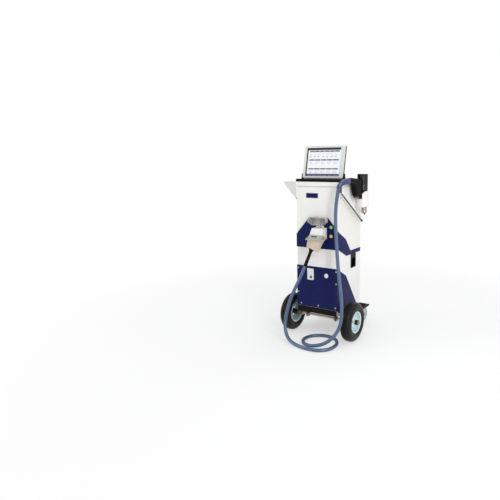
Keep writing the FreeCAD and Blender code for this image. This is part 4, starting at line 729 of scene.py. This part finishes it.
# share of the way from the plug's mouth to its end, and how far its walls swell there
plug_walls = ((0.14, 0.02), (0.2, 0.0), (0.55, 0.015), (0.93, 0.0))
wall_rings = [blend_rings(mouth_ring, end_ring, share, swell) for share, swell in plug_walls]
skin("plug_moulding", [seat_ring, mouth_ring, *wall_rings, end_ring, face_ring], beige_plastic,
     "plug_body", crease=50)

relief_root = 19.0
relief_neck = 10.4
relief_end = 12.2
relief_seat = 3
relief_cone = 27.0
relief_curve = 1.6
relief_step = 1.1
relief_sides = 24
rib_pitch = 12.0
rib_gap = 3.2
rib_depth = 1.3


def relief_radius(along):
    """Radius of the bend protector, a distance down from the plug."""
    if along < relief_seat:
        return relief_root
    if along < relief_cone:
        share = (along - relief_seat) / (relief_cone - relief_seat)
        return relief_root + (relief_neck - relief_root) * (1 - (1 - share) ** relief_curve)
    wide = relief_neck + (relief_end - relief_neck) * (along - relief_cone) / (relief_length - relief_cone)
    in_gap = (along - relief_cone) % rib_pitch < rib_gap
    return wide - rib_depth if in_gap and along < relief_length - rib_pitch else wide


relief_rings = []
for k in range(int(relief_length / relief_step) + 1):
    along = min(k * relief_step, relief_length)
    relief_rings.append([on_cable(x, y, along) for x, y in circle(relief_radius(along), relief_sides)])
skin("relief_moulding", relief_rings, rubber_mat, "strain_relief", crease=45)

grip_slope = 0.118
grip_root = Vector((224.0, 186.0, 0.0))
grip_axis = Vector((-grip_slope, -1.0, 0.0)).normalized()
grip_side = Vector((0, 0, 1)).cross(grip_axis)


def on_grip(x, z, y):
    """A point of the grip: X across it, Z up, at a depth Y of the column's frame."""
    spot = grip_root + grip_axis * ((y - grip_root.y) / grip_axis.y) + grip_side * x
    return Vector((spot.x, spot.y, z))


# depth, lowest and highest point, width and corner of each section
grip_sections = [(183, 950, 1056, 30, 8), (181, 948, 1058, 34, 12), (150, 948, 1060, 34, 13),
                 (116, 948, 1062, 33, 13), (107, 950, 1063, 32, 13), (102, 962, 1063.5, 32, 13),
                 (98, 985, 1064, 32, 13), (93, 1004, 1065, 32, 14), (85, 1017, 1066, 33, 14),
                 (76, 1024, 1067, 34, 15), (66, 1026.5, 1067.5, 34, 16), (52, 1027, 1067, 33, 15.5),
                 (40, 1027.5, 1066.4, 32, 15)]
corner_steps = 7
grip_rings = [rounded_ring(on_grip, -w / 2, w / 2, z0, z1, y, corner, corner_steps)
              for y, z0, z1, w, corner in grip_sections]
grip = skin("grip_moulding", grip_rings, black_plastic, "probe_grip", crease=60)


def cut_out(obj, name, frame_of, x0, x1, y0, y1, z0, z1):
    """Takes a block out of a piece."""
    tool = bpy.data.meshes.new(name)
    mesh = bmesh.new()
    corners = ((x0, y0), (x1, y0), (x1, y1), (x0, y1))
    low = [mesh.verts.new(at(*frame_of(x, y, z0))) for x, y in corners]
    high = [mesh.verts.new(at(*frame_of(x, y, z1))) for x, y in corners]
    mesh.faces.new(low)
    mesh.faces.new(high)
    for k in range(4):
        mesh.faces.new((low[k], low[(k + 1) % 4], high[(k + 1) % 4], high[k]))
    bmesh.ops.recalc_face_normals(mesh, faces=mesh.faces[:])
    mesh.to_mesh(tool)
    mesh.free()
    block = link(bpy.data.objects.new(name, tool))
    cut = obj.modifiers.new("cut", "BOOLEAN")
    cut.operation = "DIFFERENCE"
    cut.object = block
    bpy.context.view_layer.update()
    whole = bpy.data.meshes.new_from_object(obj.evaluated_get(bpy.context.evaluated_depsgraph_get()))
    obj.modifiers.clear()
    obj.data = whole
    bpy.data.objects.remove(block)


trigger_reach = 62
trigger_half_w = 7.6
trigger_half_l = 18
trigger_y = grip_root.y - trigger_reach / math.hypot(1, grip_slope)
cut_out(grip, "trigger_room", lambda x, y, z: on_grip(x, z, y), x0=-trigger_half_w, x1=trigger_half_w,
        y0=trigger_y - trigger_half_l, y1=trigger_y + trigger_half_l, z0=936, z1=968)

# centre, half width, half height and squareness of each section of the boot
boot_stations = [(206.8, 39.5, 1046.8, 16.2, 20.2, 3.2), (205.3, 27, 1046.4, 16.3, 20, 3.0),
                 (203, 10, 1045, 16, 18.6, 2.7), (197.5, -12, 1041, 15.5, 17, 2.4),
                 (190, -31, 1032, 15, 15.2, 2.2), (183.6, -43, 1018.5, 14, 14, 2.0),
                 (181, -46, 1006, 13.4, 13.4, 2.0)]
boot_steps = 8


def between(rows, steps):
    """Rows of numbers on a smooth line through the given rows."""
    rows = [tuple(2 * a - b for a, b in zip(rows[0], rows[1]))] + rows
    rows.append(tuple(2 * a - b for a, b in zip(rows[-1], rows[-2])))
    out = []
    for k in range(1, len(rows) - 2):
        p, q, r, t = rows[k - 1:k + 3]
        for j in range(steps):
            u = j / steps
            out.append(tuple(0.5 * (2 * b + (c - a) * u + (2 * a - 5 * b + 4 * c - d) * u * u
                                    + (3 * b - a - 3 * c + d) * u ** 3) for a, b, c, d in zip(p, q, r, t)))
    out.append(rows[-2])
    return out


def loft_rings(stations, side, sides=28):
    """Squarish rings across a line, carried along without twist."""
    rings = []
    spots = [Vector(row[:3]) for row in stations]
    for k, row in enumerate(stations):
        ahead = (spots[min(k + 1, len(spots) - 1)] - spots[max(k - 1, 0)]).normalized()
        side = (side - ahead * side.dot(ahead)).normalized()
        up = ahead.cross(side)
        power = 2 / row[5]
        ring = []
        for j in range(sides):
            c = math.cos(2 * math.pi * j / sides)
            w = math.sin(2 * math.pi * j / sides)
            x = math.copysign(abs(c) ** power, c) * row[3]
            y = math.copysign(abs(w) ** power, w) * row[4]
            ring.append(spots[k] + side * x + up * y)
        rings.append(ring)
    return rings


boot_rings = loft_rings(between(boot_stations, boot_steps), grip_side)
skin("boot_moulding", boot_rings, boot_mat, "hose_boot", crease=60)

# turned barrel of the nozzle: height and radius
nozzle_x = 235.5
nozzle_y = 216.0
nozzle_sides = 32
nozzle_profile = [(872.1, 18), (866, 18), (865, 16.6), (862.5, 16.6), (861.5, 18), (843, 18), (842, 17),
                  (838, 14.5), (834, 10.5), (833.6, 9)]
nozzle_rings = [[(nozzle_x + x, nozzle_y + y, z) for x, y in circle(r, nozzle_sides)]
                for z, r in nozzle_profile]
skin("nozzle_barrel", nozzle_rings, nozzle_mat, "probe_nozzle", crease=30)

# cross recesses of the cover's screws, drawn as flat black crosses of painted shade
screw_gap = 0.012
heads = []
for vertex in nodes["cover_screws"].data.vertices:
    spot = vertex.co.copy()
    near = [h for h in heads if (h[0].xz - spot.xz).length < screw_gap]
    if near:
        near[0].append(spot)
    else:
        heads.append([spot])
recess_arm = 0.0022
recess_half = 0.0005
recess_lift = 0.00015
recess_shade_mesh = bmesh.new()
for head in heads:
    xs = [p.x for p in head]
    zs = [p.z for p in head]
    front = min(p.y for p in head) - recess_lift
    middle = Vector(((min(xs) + max(xs)) / 2, front, (min(zs) + max(zs)) / 2))
    for wide, high in ((recess_arm, recess_half), (recess_half, recess_arm)):
        corners = [recess_shade_mesh.verts.new(middle + Vector((x * wide, 0, z * high)))
                   for x, z in ((-1, -1), (1, -1), (1, 1), (-1, 1))]
        recess_shade_mesh.faces.new(corners)
recess_shade = piece("screw_recess_shade", recess_shade_mesh, rubber_mat)
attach(recess_shade, "column")


# stage, light and camera
def seen_rays(tree):
    """1 for what the camera sees, straight, in mirrors or through glass, and 0 for other light."""
    rays = tree.nodes.new("ShaderNodeLightPath")
    seen = rays.outputs["Is Camera Ray"]
    for kind in ("Is Glossy Ray", "Is Transmission Ray"):
        either = tree.nodes.new("ShaderNodeMath")
        either.operation = "MAXIMUM"
        tree.links.new(seen, either.inputs[0])
        tree.links.new(rays.outputs[kind], either.inputs[1])
        seen = either.outputs[0]
    return seen


def stage_mat():
    """Pale floor. The camera and mirrors see it nearly white, fading to white away from the object, with the
    object's shadow on it."""
    m = Nodes("studio_floor")
    m.put(m.bsdf, "Base Color", m.ramp(m.noise(0.8, 2.0), [(0.3, (0.91,) * 3), (0.7, (0.94,) * 3)]))
    m.put(m.bsdf, "Roughness", 0.9)
    m.put(m.bsdf, "Specular IOR Level", 0.1)
    m.bump(m.noise(60.0), 0.05, 0.0005)
    reach = m.new("VectorMath", operation="LENGTH")
    m.put(reach, 0, m.coords)
    fade = m.remap(reach.outputs["Value"], 0.7, 2.4, 0.5, 1.0)
    glow_node = m.new("Emission")
    m.put(glow_node, "Strength", 1.0)
    blend = m.new("MixShader")
    m.put(blend, 0, m.math("MULTIPLY", seen_rays(m.tree), fade))
    m.tree.links.new(m.bsdf.outputs[0], blend.inputs[1])
    m.tree.links.new(glow_node.outputs[0], blend.inputs[2])
    m.tree.links.new(blend.outputs[0], m.out.inputs[0])
    return m.mat


floor_reach = 14.0
ground = bmesh.new()
bmesh.ops.create_grid(ground, x_segments=1, y_segments=1, size=floor_reach)
piece("floor", ground, stage_mat())

fill_colour = (0.98, 0.99, 1.0, 1)
fill_strength = 0.62


def studio():
    """White behind the object, and a softer light that falls on it from all sides."""
    world = bpy.data.worlds.new("studio")
    bpy.context.scene.world = world
    world.use_nodes = True
    tree = world.node_tree
    tree.nodes.clear()
    mixer = tree.nodes.new("ShaderNodeMixShader")
    tree.links.new(seen_rays(tree), mixer.inputs[0])
    for socket, colour, strength in ((1, fill_colour, fill_strength), (2, (1, 1, 1, 1), 1.0)):
        light = tree.nodes.new("ShaderNodeBackground")
        light.inputs[0].default_value = colour
        light.inputs[1].default_value = strength
        tree.links.new(light.outputs[0], mixer.inputs[socket])
    out = tree.nodes.new("ShaderNodeOutputWorld")
    tree.links.new(mixer.outputs[0], out.inputs[0])


studio()


def lamp(name, spot, target, size, power, tall=None):
    """A white area lamp that points at its target, round or, with its height given, a tall box."""
    data = bpy.data.lights.new(name, "AREA")
    data.shape = "RECTANGLE" if tall else "DISK"
    data.size = size
    if tall:
        data.size_y = tall
    data.energy = power
    obj = link(bpy.data.objects.new(name, data))
    obj.location = spot
    obj.rotation_euler = (Vector(target) - Vector(spot)).to_track_quat("-Z", "Y").to_euler()


lamp("key", (3.0, -2.2, 3.0), (0, 0, 0.6), 1.8, 48)
lamp("strip", (2.5, -1.8, 1.2), (0, 0, 0.7), 0.16, 18, tall=2.2)
lamp("left_fill", (-2.8, -2.4, 2.0), (0, 0, 0.6), 0.7, 20, tall=2.2)
lamp("top", (0.2, 0.6, 3.6), (0, 0, 0.5), 2.0, 24)

picture_size = 500
picture_middle = picture_size / 2
view_centre_x = 326
focal_pixels = 432.8
sensor = 36.0
tilt_down = 10.81
heading = 29.02
camera = bpy.data.cameras.new("camera")
camera.sensor_width = sensor
camera.lens = focal_pixels / picture_size * sensor
camera.shift_x = (picture_middle - view_centre_x) / picture_size
cam = link(bpy.data.objects.new("camera", camera))
cam.location = at(1398, -2396, 1131)
cam.rotation_euler = (math.radians(90 - tilt_down), 0, math.radians(heading))
bpy.context.scene.camera = cam
bpy.context.scene.view_settings.view_transform = "Standard"
